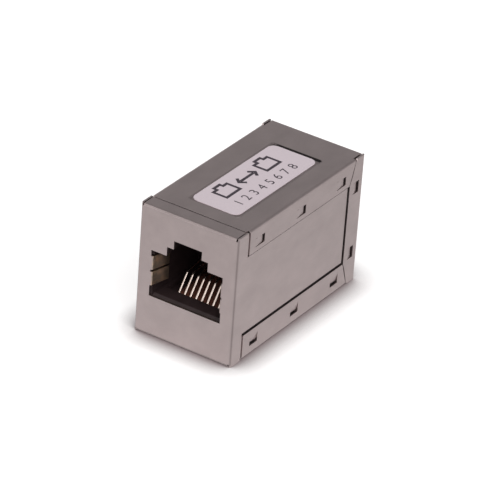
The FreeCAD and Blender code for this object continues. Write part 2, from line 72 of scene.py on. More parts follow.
MM = 0.001                  # the frame is in metres; sheet and wire are worked out in millimetres
QUARTER = math.pi / 2
SHARP_TURN = math.radians(40)  # edges that turn more than this are sheared ones
EDGE_SEGMENTS = 2           # faces round a sheared edge
FLAT_WEIGHT = 90            # how much more a wide face weighs than a narrow one in the smooth shading
NEAR = 1e-6                 # places closer than this are the same, in millimetres
SNAP = 1e-4                 # points closer than this are welded, in millimetres
FLAT_STEP = 0.6             # widest step of a sheet's grid, in millimetres
FOLD_STEP = 0.055           # the same in a fold
EDGE_STEP = 0.11            # the same by the label's recess
WIRE_STEPS = (0.12, 0.5)    # widest steps along a contact, in its bends and between them
WIRE_POINTS = 28            # points round a contact
WIRE_END = 0.02             # run over which a contact's end is rounded, in millimetres
WIRE_TIP = 0.75             # size of the contact's end face, as a share of its section
CONTACTS = 8                # wires in a jack
PRESS_CLEAR = 0.02          # the recess's fine grid starts this far outside its slope, in millimetres
SHEET_SHY = 0.005           # the folded sheets stay this far inside their solids' box, in millimetres
REFLECTION_BLEND = 0.3            # half the run over which a moulding's painted reflection colour ends, in millimetres
MITRE_LIMIT = 0.4           # least cosine that a stroke's joint is mitred with
PAPER_POINTS = 48           # points round the label
SOFT_MIDDLE = 0.3           # inset of the softened edge's middle ring, as a share of its radius
DIGIT_EM = 1.35             # a text's size for each millimetre that its digits are high
DIGIT_WELD = 0.004          # digits' points closer than this are welded, in millimetres
DIGIT_STEPS = 6             # points on each curved piece of a digit
PAPER_GAP = 0.004           # ink stands this far off the paper, in millimetres
FLOOR_HALF = 1500           # from the floor's middle to its edges, in millimetres
FLOOR_DROP = 0.02           # from the coupler's foot down to the floor, in millimetres
LAMP_RANGE = 3.0            # metres from the coupler to a lamp for each unit of its way
SENSOR = 36                 # width of the camera's sensor, in millimetres
CLIP = (0.05, 10)           # nearest and farthest that the camera sees, in metres
ENDS = ("front", "rear")


def setting(name, value, description, convert=float, **options):
    """A number that a user would change, or several where the value is a tuple."""
    if isinstance(value, tuple):
        return bpy.props.FloatVectorProperty(name=name, description=description, size=len(value),
                                             default=[convert(v) for v in value], **options)
    return bpy.props.FloatProperty(name=name, description=description, default=convert(value), **options)


def length(name, value, description):
    """A length, or several of one feature, in millimetres."""
    return setting(name, value, description, lambda v: v * MM, unit="LENGTH", precision=5)


def angle(name, value, description):
    """An angle, or several of one feature, in degrees."""
    return setting(name, value, description, math.radians, unit="ROTATION")


def share(name, value, description):
    """A number from 0 to 1, or several."""
    subtype = "NONE" if isinstance(value, tuple) else "FACTOR"
    return setting(name, value, description, min=0, max=1, subtype=subtype)


def colour(name, value, description):
    """A finish colour, linear."""
    return setting(name, value, description, min=0, max=1, subtype="COLOR")


# ---- What a user would change ----
class CouplerSheet(bpy.types.PropertyGroup):
    """Sizes of the two folded shield shells."""
    sheet: length("Sheet", 0.3, "Thickness of the sheet")
    inside_bend: length("Inside bend", 0.16, "Inside radius of every fold")
    edge_round: length("Edge round", 0.042, "Rounding of the sheared edges")
    corner_slit: length("Corner slit", 0.28, "Between a rear panel's end and the wall beside it")
    lip_slit: length("Lip slit", 0.17, "Between a lip's end and the wall beside it")
    layer_gap: length("Layer gap", 0.05, "Between the flaps and the locking frame behind them")
    lip: length("Lip", 2.45, "Depth of the front shell's top and bottom lips")
    lip_seam: length("Lip seam", 0.2, "Between a lip and the panel that carries on from it")
    strip: length("Strip", 2.6, "Depth of the full-height strip behind the front fold")
    joggle: length("Joggle", 0.5, "Run over which the locking frame steps inwards")
    tongue_gap: length("Tongue gap", 0.65, "Between the flush tongue and the rear flap")
    frame_gap: length("Frame gap", 0.25, "From the locking frame to the panels' inner faces")
    top_flap: length("Top flap", 4.0, "Height of the top flaps")
    bottom_flap: length("Bottom flap", 4.1, "Height of the bottom flaps")
    rear_flap: length("Rear flap", 3.75, "Depth of the rear flaps")
    top_slit: length("Top slit", 0.055, "Between the tongue and the top flap")
    bottom_slit: length("Bottom slit", 0.54, "Between the tongue and the bottom flap")
    mitre_run: length("Mitre run", 1.25, "How far a mitre leans back over a flap's height")
    mitre_gap: length("Mitre gap", 0.3, "Between mitred flaps")


class CouplerTabs(bpy.types.PropertyGroup):
    """Lanced tabs of the flaps and their windows."""
    count: bpy.props.IntProperty(name="Count", default=3, min=2, description="Tabs of a top or bottom flap")
    first_end: length("First window", 7.0, "Depth of the first window's rear edge")
    last_gap: length("Last window", 1.35, "From the last window's rear edge to the rear flap")
    top: length("Top tab", (2.0, 1.45, 2.4), "Length, width and window length of a top tab")
    bottom: length("Bottom tab", (1.25, 2.05, 1.65), "Length, width and window length of a bottom tab")
    rear: length("Rear tab", (1.05, 2.0, 1.5), "Length, width and window length of a rear tab")
    top_lean: angle("Top lean", 5.5, "How far the top tabs are pressed in")
    bottom_lean: angle("Bottom lean", 11, "How far the bottom tabs are pressed in")
    rear_lean: angle("Rear lean", 12, "How far the rear tabs are pressed in")
    top_drop: length("Top drop", 2.5, "Middle of the top tabs, below the top panel")
    bottom_rise: length("Bottom rise", 3.1, "Roots of the bottom tabs, above the bottom panel")
    rear_setback: length("Rear setback", 2.7, "Roots of the rear tabs, from the rear face")
    rear_rise: length("Rear rise", 5.35, "Middle of the lower rear tab, above the bottom panel")
    rear_drop: length("Rear drop", 4.95, "Middle of the upper rear tab, below the top panel")
    slit: length("Tab slit", 0.11, "How much narrower a tab is than its window")
    window_gap: length("Window gap", 0.1, "Clearance of the locking frame's windows round the tabs")


class CouplerSocket(bpy.types.PropertyGroup):
    """Socket opening, ground spring leaves and contacts, the same at both ends."""
    mouth: length("Mouth", (12.6, 7.7), "Width and height of the plug's opening")
    mouth_bottom: length("Mouth bottom", 6.7, "Lower edge of the opening")
    shoulder: length("Shoulder", (7.2, 1.5), "Width and height of the latch channel's lower step")
    keyway: length("Keyway", (4.9, 1.4), "Width and height of the latch channel's upper step")
    leaf_bend: length("Leaf bend", 0.06, "Inside radius of a spring leaf's root")
    leaf_lean: angle("Leaf lean", 12.5, "How far the leaves lean into the opening")
    leaf_length: length("Leaf length", 3.4, "From the fold's corner to the leaf's tip")
    leaf_slit: length("Leaf slit", 0.35, "Between the two leaves of a side")
    leaf_notches: length("Leaf notches", (1.75, 1.05), "Free height under and over the leaves")
    rise_angle: angle("Rise", 54, "Slope of a contact's rising run")
    top_angle: angle("Top", 10, "Slope of a contact's upper run")
    nose_radius: length("Nose", 0.6, "Radius of a contact's middle line round the carrier's nose")
    knee_radius: length("Knee", 1.2, "Radius of a contact's middle line at its knee")
    knee_drop: length("Knee drop", 1.15, "From a contact's highest point down to its knee")
    jog_radius: length("Jog", 0.28, "Radius of the even contacts' jog")
    jog_back: length("Jog back", 4.0, "From the jack's middle plane to the start of the jog")
    wire: length("Wire", (0.37, 0.27), "Width and thickness of a contact")
    wire_squareness: setting("Wire squareness", 2.4, "2 for an oval section, more for a squarer one",
                             min=2, max=8)


class CouplerLabel(bpy.types.PropertyGroup):
    """Label recess and the label's print."""
    round: length("Round", 1.25, "Corner radius of the label")
    tail: length("Tail", 0.35, "How much further back the label reaches than its solid")
    soft_edge: length("Soft edge", 0.03, "Rounding of the label's cut edge")
    corner: length("Corner", 0.55, "Corner radius of the recess")
    recess: length("Recess", 0.12, "Depth of the pressed recess")
    margin: length("Margin", (0.25, 0.35, 0.5, 0.5), "Recess beyond the label: left, front, right, rear")
    slope: length("Slope", 0.1, "Run of the recess's pressed edge, inside its outline")
    stroke: length("Stroke", 0.5, "Width of the large symbols' strokes")
    digit: length("Digit", 1.7, "Height of the plain digits")
    digit_spacing: setting("Digit spacing", 1.12, "Space from digit to digit, as a share of the usual", min=0)
    digit_line: share("Digit line", 0.76, "Middle of the digits across the label, from its left")
    symbol: share("Symbol", 0.36, "Height of a symbol, as a share of the label's width")
    symbol_shift: share("Symbol shift", 0.01, "Symbols' place left of the label's middle, likewise")
    jack_shape: setting("Jack symbol", (1.18, 0.3304, 0.2), "Width, shoulder and step, as shares of height")
    arrow_shape: setting("Arrow symbol", (1.5, 0.3, 0.45), "Length, head and gap, as shares of height")
    arrow_point: length("Arrow point", 0.1, "From the arrow's end to the middle of its head's stroke")


class CouplerFinish(bpy.types.PropertyGroup):
    """Colours and finishes."""
    nickel: colour("Nickel", (0.448, 0.380, 0.376), "Satin nickel plating")
    nickel_roughness: share("Nickel roughness", 0.36, "How satin the plating is")
    # Painted shade: the plating is darkened along the folds, deepest at a set turn of each kind of fold, in
    # place of the darker reflections and shade in the bends.
    fold_shade: share("Fold shade", (0.52, 0.62, 0.97),
                       "How much of its lightness the plating keeps in folds across, upright and along")
    fold_turn: angle("Fold turn", (30, 49, 45), "How far round those folds the shade is deepest")
    fold_reach: angle("Fold reach", 32, "How far round a fold its shade reaches either way")
    # Painted shadow in the groove round the label's recess: deepest behind the label and towards its right,
    # lighter beside it.
    groove_shade: share("Groove shade", 0.06, "How much of it stays in the groove behind the label")
    groove_side: share("Groove side", 0.25, "How dark the groove is beside the label, as a share of that")
    groove_reach: length("Groove reach", 0.05, "How far outside the recess its shade ends")
    groove_rear: length("Groove rear", (-0.1, 0.05), "Run behind the label over which the groove gets darker")
    groove_left: length("Groove left", (-0.4, 1.0), "Run from the label's left over which it does so too")
    # Painted reflection: the spring leaves take a warm tint in place of the gold contacts that they mirror,
    # lighter in patches of painted glint.
    leaf: colour("Leaf", (0.40, 0.335, 0.275), "Spring leaves, tarnished inside the socket")
    leaf_bright: colour("Bright leaf", (0.72, 0.53, 0.38), "Spring leaves where the tarnish is thin")
    leaf_root: length("Leaf root", (0.005, 0.145), "Depths between which a leaf takes on its tarnish")
    # Painted shade on the spring leaves towards their tips, deep in the socket.
    leaf_tip: share("Leaf tip", 0.3, "How much of its lightness a spring leaf keeps at its tip")
    leaf_dark: share("Leaf dark", (0.45, 0.95), "Shares of the leaf's length between which it gets darker")
    paper: colour("Paper", (0.610, 0.535, 0.575), "Coated label paper")
    ink: colour("Ink", (0.030, 0.022, 0.030), "Print")
    moulding: colour("Moulding", (0.021, 0.0135, 0.0140), "Black housing")
    # Painted reflection: a warm brown on the carrier between the contacts, in place of the light that the
    # gold contacts throw on it.
    carrier: colour("Carrier", (0.150, 0.060, 0.042), "Contact carrier between the contacts")
    housing_roughness: share("Housing roughness", 0.42, "How matt the housings are")
    carrier_roughness: share("Carrier roughness", 0.36, "How matt the carriers are")
    laminate: colour("Laminate", (0.02, 0.11, 0.045), "Circuit board's solder mask")
    gilt: colour("Gilt", (0.57, 0.483, 0.440), "Plating of the contacts")
    gilt_roughness: share("Gilt roughness", 0.22, "How satin the contacts are")


class CouplerStage(bpy.types.PropertyGroup):
    """Camera, lamps and floor."""
    azimuth: angle("Azimuth", 31.59, "Camera's turn round the coupler, from the front")
    elevation: angle("Elevation", 29.87, "Camera's height above the horizon")
    roll: angle("Roll", 4.35, "Camera's turn about its own axis")
    distance: length("Distance", 577.5, "From the camera to the coupler's middle")
    aim: length("Aim", (0.035, 1.369), "How far the aim lies right of and above the coupler's middle")
    lens: setting("Lens", 279.3, "Focal length in millimetres")
    lamp_tint: colour("Lamp tint", (1, 0.985, 0.975), "Colour of both lamps")
    key: setting("Key", 1.15, "Radiance of the large panel left of the camera")
    key_way: setting("Key way", (-0.5, -0.74, 0.45), "From the coupler to that panel", subtype="DIRECTION")
    key_size: length("Key size", 3300, "Side of that panel")
    fill: setting("Fill", 3.7, "Radiance of the panel right of the camera")
    fill_way: setting("Fill way", (0.55, -0.45, 0.70), "From the coupler to that panel", subtype="DIRECTION")
    fill_size: length("Fill size", 2400, "Side of that panel")
    backdrop: share("Backdrop", 0.95, "Lightness of the surroundings at the horizon")
    overhead: share("Overhead", 0.33, "Lightness of the surroundings higher up")
    horizon: share("Horizon", (0.10, 0.42), "Heights between which the one goes over to the other")
    sky_tint: colour("Sky tint", (1, 0.985, 0.99), "Colour of the surroundings")
    floor: colour("Floor", (0.62, 0.616, 0.616), "Floor")
    # Painted shadow on the floor at the coupler's foot, reaching as far as the contact reach.
    contact_shade: colour("Contact shade", (0.27, 0.225, 0.23), "Floor right at the coupler's foot")
    contact_reach: length("Contact reach", 5.2, "How far the shade at the coupler's foot reaches")
    floor_lift: share("Floor lift", 0.58, "How much paler the floor is seen than lit")
    # Painted light seen only in reflections: the floor glows paler near the coupler than further off.
    floor_mirrored: share("Mirrored floor lift", (0.297, 0.155),
                          "How much paler the floor is in a reflection, near the coupler and further off")
    floor_pool: length("Floor pool", (16, 62), "Where the mirrored floor starts and stops getting darker")


GROUPS = {"coupler_" + group.__name__[len("Coupler"):].lower(): group for group in (
    CouplerSheet, CouplerTabs, CouplerSocket, CouplerLabel, CouplerFinish, CouplerStage)}


def settings(name):
    """A group's values: lengths in millimetres, angles in radians, the rest as they are."""
    group = getattr(bpy.context.scene, "coupler_" + name)
    values = {}
    for prop in group.bl_rna.properties:
        if prop.identifier in ("name", "rna_type"):
            continue
        value, unit = getattr(group, prop.identifier), MM if getattr(prop, "unit", "") == "LENGTH" else 1
        several = getattr(prop, "is_array", False)
        if unit != 1 or several:
            value = tuple(part / unit for part in value) if several else value / unit
        values[prop.identifier] = value
    return SimpleNamespace(**values)


def in_mm(node):
    """Lowest and highest corner of a CAD node, in millimetres."""
    low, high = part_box(node)
    return np.array(low) / MM, np.array(high) / MM


# ---- Lines, grids and meshes ----
class Route:
    """A plane line of straight runs through points, with an arc of the given radius at each inner point."""

    def __init__(self, points, radii=()):
        self.spans = []
        self.length = 0.0
        pen = points[0]
        for before, corner, after, radius in zip(points, points[1:], points[2:], radii):
            come, leave = heading(before, corner), heading(corner, after)
            turn = (leave - come + math.pi) % (2 * math.pi) - math.pi
            reach = radius * math.tan(abs(turn) / 2)
            enter = (corner[0] - reach * math.cos(come), corner[1] - reach * math.sin(come))
            self.add(pen, come, math.dist(pen, enter), 0.0)
            self.add(enter, come, radius * abs(turn), math.copysign(1 / radius, turn))
            pen = (corner[0] + reach * math.cos(leave), corner[1] + reach * math.sin(leave))
        self.add(pen, heading(points[-2], points[-1]), math.dist(pen, points[-1]), 0.0)

    def add(self, point, way, run, curve):
        """One run or arc more."""
        self.spans.append((self.length, run, point, way, curve))
        self.length += run

    def at(self, distance):
        """Place and heading at each distance. On a run the place moves straight; on an arc the heading
        turns by distance times curvature and the place follows the circle."""
        x, y, way = (np.zeros_like(distance) for _ in range(3))
        for start, run, point, heading_in, curve in self.spans:
            last = start + run > self.length - NEAR
            t = np.clip(distance - start, 0 if start else None, None if last else run)
            here = distance >= start - NEAR
            if curve:
                px = point[0] + (np.sin(heading_in + curve * t) - math.sin(heading_in)) / curve
                py = point[1] - (np.cos(heading_in + curve * t) - math.cos(heading_in)) / curve
            else:
                px, py = point[0] + t * math.cos(heading_in), point[1] + t * math.sin(heading_in)
            if start == 0:
                here = np.ones_like(distance, bool)
            x, y = np.where(here, px, x), np.where(here, py, y)
            way = np.where(here, heading_in + curve * t, way)
        return x, y, way

    def bends(self):
        """Distances at which each arc starts and ends."""
        return [(start, start + run) for start, run, _, _, curve in self.spans if curve]


def heading(start, end):
    """Direction from one plane point to another."""
    return math.atan2(end[1] - start[1], end[0] - start[0])


def smooth(t):
    """Rises from 0 to 1 as t does, level at both ends: three squares less two cubes of t."""
    t = np.clip(t, 0, 1)
    return t * t * (3 - 2 * t)


def rise(value, start, end):
    """Rises smoothly from 0 to 1 as the value goes from start to end."""
    return smooth((value - start) / (end - start))


def fold_lines(start, end):
    """Lines inside a fold that parts it in five."""
    return np.linspace(start, end, 6)[1:-1]


def grid_lines(stops, spans=(), fine=FOLD_STEP, coarse=FLAT_STEP):
    """Sorted lines through every stop and span end, at most coarse apart, or fine apart inside a span."""
    low, high = min(stops), max(stops)
    spans = [(max(a, low), min(b, high)) for a, b in spans if b > low and a < high]
    edges = np.unique(np.round(list(stops) + [v for span in spans for v in span], 6))
    lines = []
    for a, b in zip(edges[:-1], edges[1:]):
        step = fine if any(s < (a + b) / 2 < e for s, e in spans) else coarse
        lines.append(np.linspace(a, b, max(1, math.ceil((b - a) / step - NEAR)), endpoint=False))
    return np.append(np.concatenate(lines), edges[-1])


def surface(us, vs, place, keep):
    """Grid of two parameters: place(u, v) gives each point, and the cells whose middle keep(u, v) allows
    stay. Faces look along the way of u crossed with the way of v."""
    u, v = np.meshgrid(us, vs, indexing="ij")
    points = np.stack(place(u, v), axis=-1).reshape(-1, 3)
    number = np.arange(u.size).reshape(u.shape)
    quads = np.stack([number[:-1, :-1], number[1:, :-1], number[1:, 1:], number[:-1, 1:]], axis=-1)
    middle_u, middle_v = np.meshgrid((us[1:] + us[:-1]) / 2, (vs[1:] + vs[:-1]) / 2, indexing="ij")
    return points, quads[keep(middle_u, middle_v)]


def everywhere(u, v):
    """Keeps every cell."""
    return np.ones_like(u, bool)


def within(u, v, box):
    """True where a point lies in a box of low u, high u, low v and high v."""
    return (u > box[0]) & (u < box[1]) & (v > box[2]) & (v < box[3])


def mirrored(part, axis, middle=0.0):
    """The part mirrored along an axis, with its faces turned so that they still look outwards."""
    points, quads = part
    points = points.copy()
    points[:, axis] = 2 * middle - points[:, axis]
    return points, quads[:, ::-1]


def gathered(parts):
    """One part from several, without the points that no face uses."""
    starts = np.cumsum([0] + [len(points) for points, _ in parts])[:-1]
    points = np.concatenate([points for points, _ in parts])
    quads = np.concatenate([quads + start for (_, quads), start in zip(parts, starts)])
    used, quads = np.unique(quads, return_inverse=True)
    return points[used], quads.reshape(-1, 4)


def turned(part):
    """The part turned half round the upright axis, from the front socket to the rear one."""
    points, quads = part
    return points * [-1, -1, 1], quads


def welded(mesh, merge=SNAP):
    """The mesh in millimetres, with the points that lie on each other made one."""
    work = bmesh.new()
    work.from_mesh(mesh)
    bmesh.ops.remove_doubles(work, verts=work.verts, dist=merge)
    work.to_mesh(mesh)
    work.free()
    return mesh


def linked(name, data):
    """Object of a name, put into the scene."""
    piece = bpy.data.objects.new(name, data)
    bpy.context.scene.collection.objects.link(piece)
    return piece


def mesh_object(name, part):
    """Object in millimetres from a part whose charts share their border points."""
    points, quads = gathered(part if isinstance(part, list) else [part])
    mesh = bpy.data.meshes.new(name)
    mesh.from_pydata(points, [], quads)
    return linked(name, welded(mesh))


def finish_piece(piece, material, replaced=()):
    """Applies the piece's modifiers, brings it from millimetres to metres and seats it on the frame."""
    bpy.context.view_layer.update()
    solid = bpy.data.meshes.new_from_object(piece.evaluated_get(bpy.context.evaluated_depsgraph_get()))
    piece.modifiers.clear()
    old, piece.data = piece.data, solid
    bpy.data.meshes.remove(old)
    welded(solid).name = piece.name
    solid.transform(Matrix.Scale(MM, 4))
    solid.materials.clear()
    solid.materials.append(material)
    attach(piece, "root")
    if replaced:
        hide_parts(*replaced)
    return piece


# ---- Finishes ----
def feed(socket, value):
    """Gives a socket a number, a colour or another node's output."""
    if isinstance(value, bpy.types.NodeSocket):
        socket.id_data.links.new(value, socket)
    else:
        socket.default_value = value


def new_finish(name, **sockets):
    """New material; the numbers that are the same all over go on its shader's own sockets."""
    material = bpy.data.materials.new(name)
    material.use_nodes = True
    shader = material.node_tree.nodes["Principled BSDF"]
    dress(shader, **sockets)
    return material, material.node_tree, shader


def dress(shader, **sockets):
    """Feeds a node's sockets by name."""
    for socket, value in sockets.items():
        feed(shader.inputs[socket.replace("_", " ")], value)


def node(tree, kind, output=0, **sockets):
    """Output of a new node of a kind, with its sockets fed."""
    made = tree.nodes.new("ShaderNode" + kind)
    dress(made, **sockets)
    return made.outputs[output]


def place_of(tree):
    """Each point's place on its own object."""
    return node(tree, "TexCoord", "Object")


def grain(tree, size, stretch=(1, 1, 1), detail=3.0):
    """Noise from 0 to 1 with features of a size in millimetres, longer along an axis by its stretch."""
    scale = [1 / (size * MM * s) for s in stretch]
    return node(tree, "TexNoise", "Fac", Vector=node(tree, "Mapping", Vector=place_of(tree), Scale=scale),
                Scale=1.0, Detail=detail)


def ranged(tree, value, low, high, start=0.3, end=0.7):
    """The value's range from start to end carried to low to high."""
    return node(tree, "MapRange", Value=value, From_Min=start, From_Max=end, To_Min=low, To_Max=high)


def blended(tree, factor, low, high):
    """Colour that goes from low to high with the factor; either may be a colour or a node's output."""
    mix = tree.nodes.new("ShaderNodeMix")
    mix.data_type = "RGBA"
    feed(mix.inputs["Factor"], factor)
    for name, value in (("A", low), ("B", high)):
        target = next(s for s in mix.inputs if s.name == name and s.type == "RGBA")
        feed(target, (*value, 1) if isinstance(value, tuple) else value)
    return next(s for s in mix.outputs if s.type == "RGBA")


def relief(tree, height, depth, **under):
    """Bump of a depth in millimetres, over another one given as its Normal."""
    return node(tree, "Bump", Strength=1.0, Distance=depth * MM, Height=height, **under)


def worked(tree, operation, first, second=0.0):
    """Result of a sum on two values; each may be a number or a node's output."""
    maths = tree.nodes.new("ShaderNodeMath")
    maths.operation = operation
    feed(maths.inputs[0], first)
    feed(maths.inputs[1], second)
    return maths.outputs[0]


def attribute(tree, name):
    """Value of a piece's own attribute."""
    reader = tree.nodes.new("ShaderNodeAttribute")
    reader.attribute_name = name
    return reader.outputs["Fac"]


def times(base, factor):
    """A colour made lighter or darker."""
    return tuple(min(1.0, c * factor) for c in base)


def patchy(tree, texture, base, low, high):
    """A colour between two shades of it, in patches."""
    return blended(tree, ranged(tree, texture, 0, 1), times(base, low), times(base, high))


def nickel_finish():
    """Satin plated sheet: cloudy plating, a fine rolled grain along Y and slight unevenness. Painted shade
    from its shade attribute darkens it, and where its leaf value is 1 it takes the leaves' painted reflection
    and glints."""
    finish = settings("finish")
    material, tree, shader = new_finish("satin_nickel", Metallic=1.0)
    cloudy = patchy(tree, grain(tree, 3.0, (1, 1.6, 1)), finish.nickel, 0.94, 1.05)
    rolled = grain(tree, 0.12, (1, 9, 1), 2.0)
    sheet = blended(tree, ranged(tree, rolled, 0, 0.16), cloudy, times(finish.nickel, 0.8))
    # painted glints in patches on the leaves, over their painted reflection of the gold contacts
    thin = ranged(tree, grain(tree, 1.3), 0, 1, 0.42, 0.68)
    leaf = blended(tree, thin, finish.leaf, finish.leaf_bright)
    plating = blended(tree, attribute(tree, "leaf"), sheet, leaf)
    rough = finish.nickel_roughness
    # painted shade from the shell's shade attribute darkens the plating
    dress(shader, Base_Color=blended(tree, attribute(tree, "shade"), (0, 0, 0), plating),
          Roughness=ranged(tree, grain(tree, 1.1, (1, 3, 1)), rough - 0.03, rough + 0.04),
          Normal=relief(tree, rolled, 0.0009, Normal=relief(tree, grain(tree, 2.4, detail=1.0), 0.012)))
    return material


def paper_finish():
    """Coated paper: faint fibres and a slight sheen."""
    material, tree, shader = new_finish("label_paper_coated", Roughness=0.5, Specular_IOR_Level=0.35)
    fibres = grain(tree, 0.22, (2.2, 1, 1))
    dress(shader, Base_Color=patchy(tree, fibres, settings("finish").paper, 0.975, 1.02),
          Normal=relief(tree, fibres, 0.002))
    return material


def ink_finish():
    """Printed ink: dark, with the paper's fibres showing faintly through."""
    ink = settings("finish").ink
    material, tree, shader = new_finish("label_ink", Roughness=0.42, Specular_IOR_Level=0.35)
    worn = ranged(tree, grain(tree, 0.18), 0, 1, 0.35, 0.75)
    dress(shader, Base_Color=blended(tree, worn, ink, times(ink, 2.2)))
    return material


def moulding_finish(name, base, roughness, contact_reflection=None, reflection_half=0.0):
    """Black moulding: spark-eroded texture and slight flow marks. Up to a distance in millimetres from the
    middle plane a painted reflection colour shows, in place of the warm light of the gold contacts."""
    material, tree, shader = new_finish(name, Specular_IOR_Level=0.14)
    eroded = grain(tree, 0.09, detail=2.0)
    tone = patchy(tree, grain(tree, 2.0, (1, 3, 1)), base, 0.8, 1.35)
    # painted reflection of the gold contacts on the carrier between them
    if contact_reflection:
        across = node(tree, "SeparateXYZ", "X", Vector=place_of(tree))
        outside = ranged(tree, worked(tree, "ABSOLUTE", across), 0, 1,
                         (reflection_half - REFLECTION_BLEND) * MM, (reflection_half + REFLECTION_BLEND) * MM)
        tone = blended(tree, outside, contact_reflection, tone)
    dress(shader, Base_Color=tone, Roughness=ranged(tree, eroded, roughness - 0.06, roughness + 0.08),
          Normal=relief(tree, eroded, 0.004))
    return material


def gilt_finish():
    """Contact plating: bright, with fine drawing lines and slightly duller patches."""
    finish = settings("finish")
    material, tree, shader = new_finish("contact_plating", Metallic=1.0)
    patches = grain(tree, 0.7, (1, 2, 2))
    drawn = grain(tree, 0.05, (1, 14, 14), 2.0)
    rough = finish.gilt_roughness
    dress(shader, Base_Color=patchy(tree, patches, finish.gilt, 0.9, 1.0),
          Roughness=ranged(tree, drawn, rough - 0.05, rough + 0.08), Normal=relief(tree, drawn, 0.0006))
    return material


def laminate_finish():
    """Circuit board: green mask that shows the glass weave under it."""
    material, tree, shader = new_finish("board_mask", Roughness=0.28)
    weave, cross = (grain(tree, 0.35, stretch, 1.0) for stretch in ((1, 1, 4), (4, 1, 1)))
    dress(shader, Base_Color=patchy(tree, weave, settings("finish").laminate, 0.85, 1.2),
          Normal=relief(tree, cross, 0.003))
    return material


# ---- Folded shield shells ----
def sheet_plan():
    """Every size and place of the two shells, in millimetres: the settings and what follows from them."""
    p = settings("sheet")
    p.tabs, p.socket = settings("tabs"), settings("socket")
    low, high = in_mm("front_shell")
    p.half, p.height, p.front = high[0] - SHEET_SHY, high[2] - SHEET_SHY, low[1] + SHEET_SHY
    p.rear = in_mm("rear_shell")[1][1] - SHEET_SHY
    # the sheet's middle surface, its folds and the panels' ends beside them
    p.middle = p.sheet / 2
    p.face, p.back = p.front + p.middle, p.rear - p.middle
    p.wall, p.roof = p.half - p.middle, p.height - p.middle
    p.bend, p.fold = p.sheet + p.inside_bend, p.middle + p.inside_bend
    p.bend_top = p.height - p.bend
    p.relief_turn = p.fold * math.asin(p.inside_bend / p.fold)
    p.panel_half = p.half - p.sheet - p.corner_slit
    p.lip_half = p.half - p.sheet - p.lip_slit
    # the front shell's walls
    p.strip_end = p.front + p.strip
    p.flap_front = p.strip_end + p.joggle
    p.layer_step = p.sheet + p.layer_gap
    p.frame_low, p.frame_high = p.sheet + p.frame_gap, p.height - p.sheet - p.frame_gap
    p.frame_end = p.rear - p.sheet - p.frame_gap
    # the rear shell's panels and flaps
    p.seam = p.front + p.lip + p.lip_seam
    p.top_edge = p.height - p.top_flap
    p.rear_flap_front = p.rear - p.rear_flap
    p.last_window = p.rear_flap_front - p.tabs.last_gap
    p.mitre_end = p.rear_flap_front + p.mitre_run
    # the opening and its leaves
    p.mouth_half, p.mouth_top = p.socket.mouth[0] / 2, p.socket.mouth_bottom + p.socket.mouth[1]
    p.shoulder_top = p.mouth_top + p.socket.shoulder[1]
    p.keyway_top = p.shoulder_top + p.socket.keyway[1]
    under, over = p.socket.leaf_notches
    bottom, top = p.socket.mouth_bottom + under, p.mouth_top - over
    leaf = (top - bottom - p.socket.leaf_slit) / 2
    p.leaves = [(bottom, bottom + leaf), (top - leaf, top)]
    p.leaf = leaf_route(p)
    return p


def leaf_route(p):
    """A spring leaf's middle line from the opening's edge: along the face, then folded back, leaning in."""
    radius, lean = p.middle + p.socket.leaf_bend, p.socket.leaf_lean
    corner = p.mouth_half - radius * math.tan((QUARTER - lean) / 2)
    tip = (corner - p.socket.leaf_length * math.sin(lean), p.face + p.socket.leaf_length * math.cos(lean))
    return Route([(p.mouth_half, p.face), (corner, p.face), tip], [radius])


def in_mouth(p, across, z):
    """True inside the stepped opening: plug mouth, latch shoulder and keyway."""
    far = np.abs(across)
    return ((far < p.mouth_half) & (z > p.socket.mouth_bottom) & (z < p.mouth_top)
            | (far < p.socket.shoulder[0] / 2) & (z >= p.mouth_top) & (z < p.shoulder_top)
            | (far < p.socket.keyway[0] / 2) & (z >= p.shoulder_top) & (z < p.keyway_top))


def in_leaf(p, across, z, slack=0.0):
    """True on a spring leaf's part of the flat sheet."""
    far = np.abs(across)
    tall = np.logical_or.reduce([(z > low - slack) & (z < high + slack) for low, high in p.leaves])
    return tall & (far < p.mouth_half) & (far > p.mouth_half - p.leaf.length - slack)


def on_face(p, across, z):
    """True where the face has sheet: outside the opening, or on a leaf."""
    return ~in_mouth(p, across, z) | in_leaf(p, across, z)


def folded_leaves(p, across, z, x, y):
    """Moves the leaves' points from the flat face to their folded route, the same on both sides."""
    on = in_leaf(p, across, z, SNAP)
    leaf_x, leaf_y, _ = p.leaf.at(np.clip(p.mouth_half - np.abs(across), 0, p.leaf.length))
    return np.where(on, np.sign(across) * leaf_x, x), np.where(on, leaf_y, y)


def mouth_stops(p):
    """Grid stops across and up that the opening and its leaves need."""
    across = [p.mouth_half, p.mouth_half - p.leaf.length, p.socket.shoulder[0] / 2, p.socket.keyway[0] / 2]
    up = [p.socket.mouth_bottom, p.mouth_top, p.shoulder_top, p.keyway_top]
    return [side * v for side in (-1, 1) for v in across], up + [v for ends in p.leaves for v in ends]


def leaf_spans(p):
    """Flat stretches in which the leaves bend."""
    (start, end), = p.leaf.bends()
    near, far = p.mouth_half - end, p.mouth_half - start
    return [(near, far), (-far, -near)]


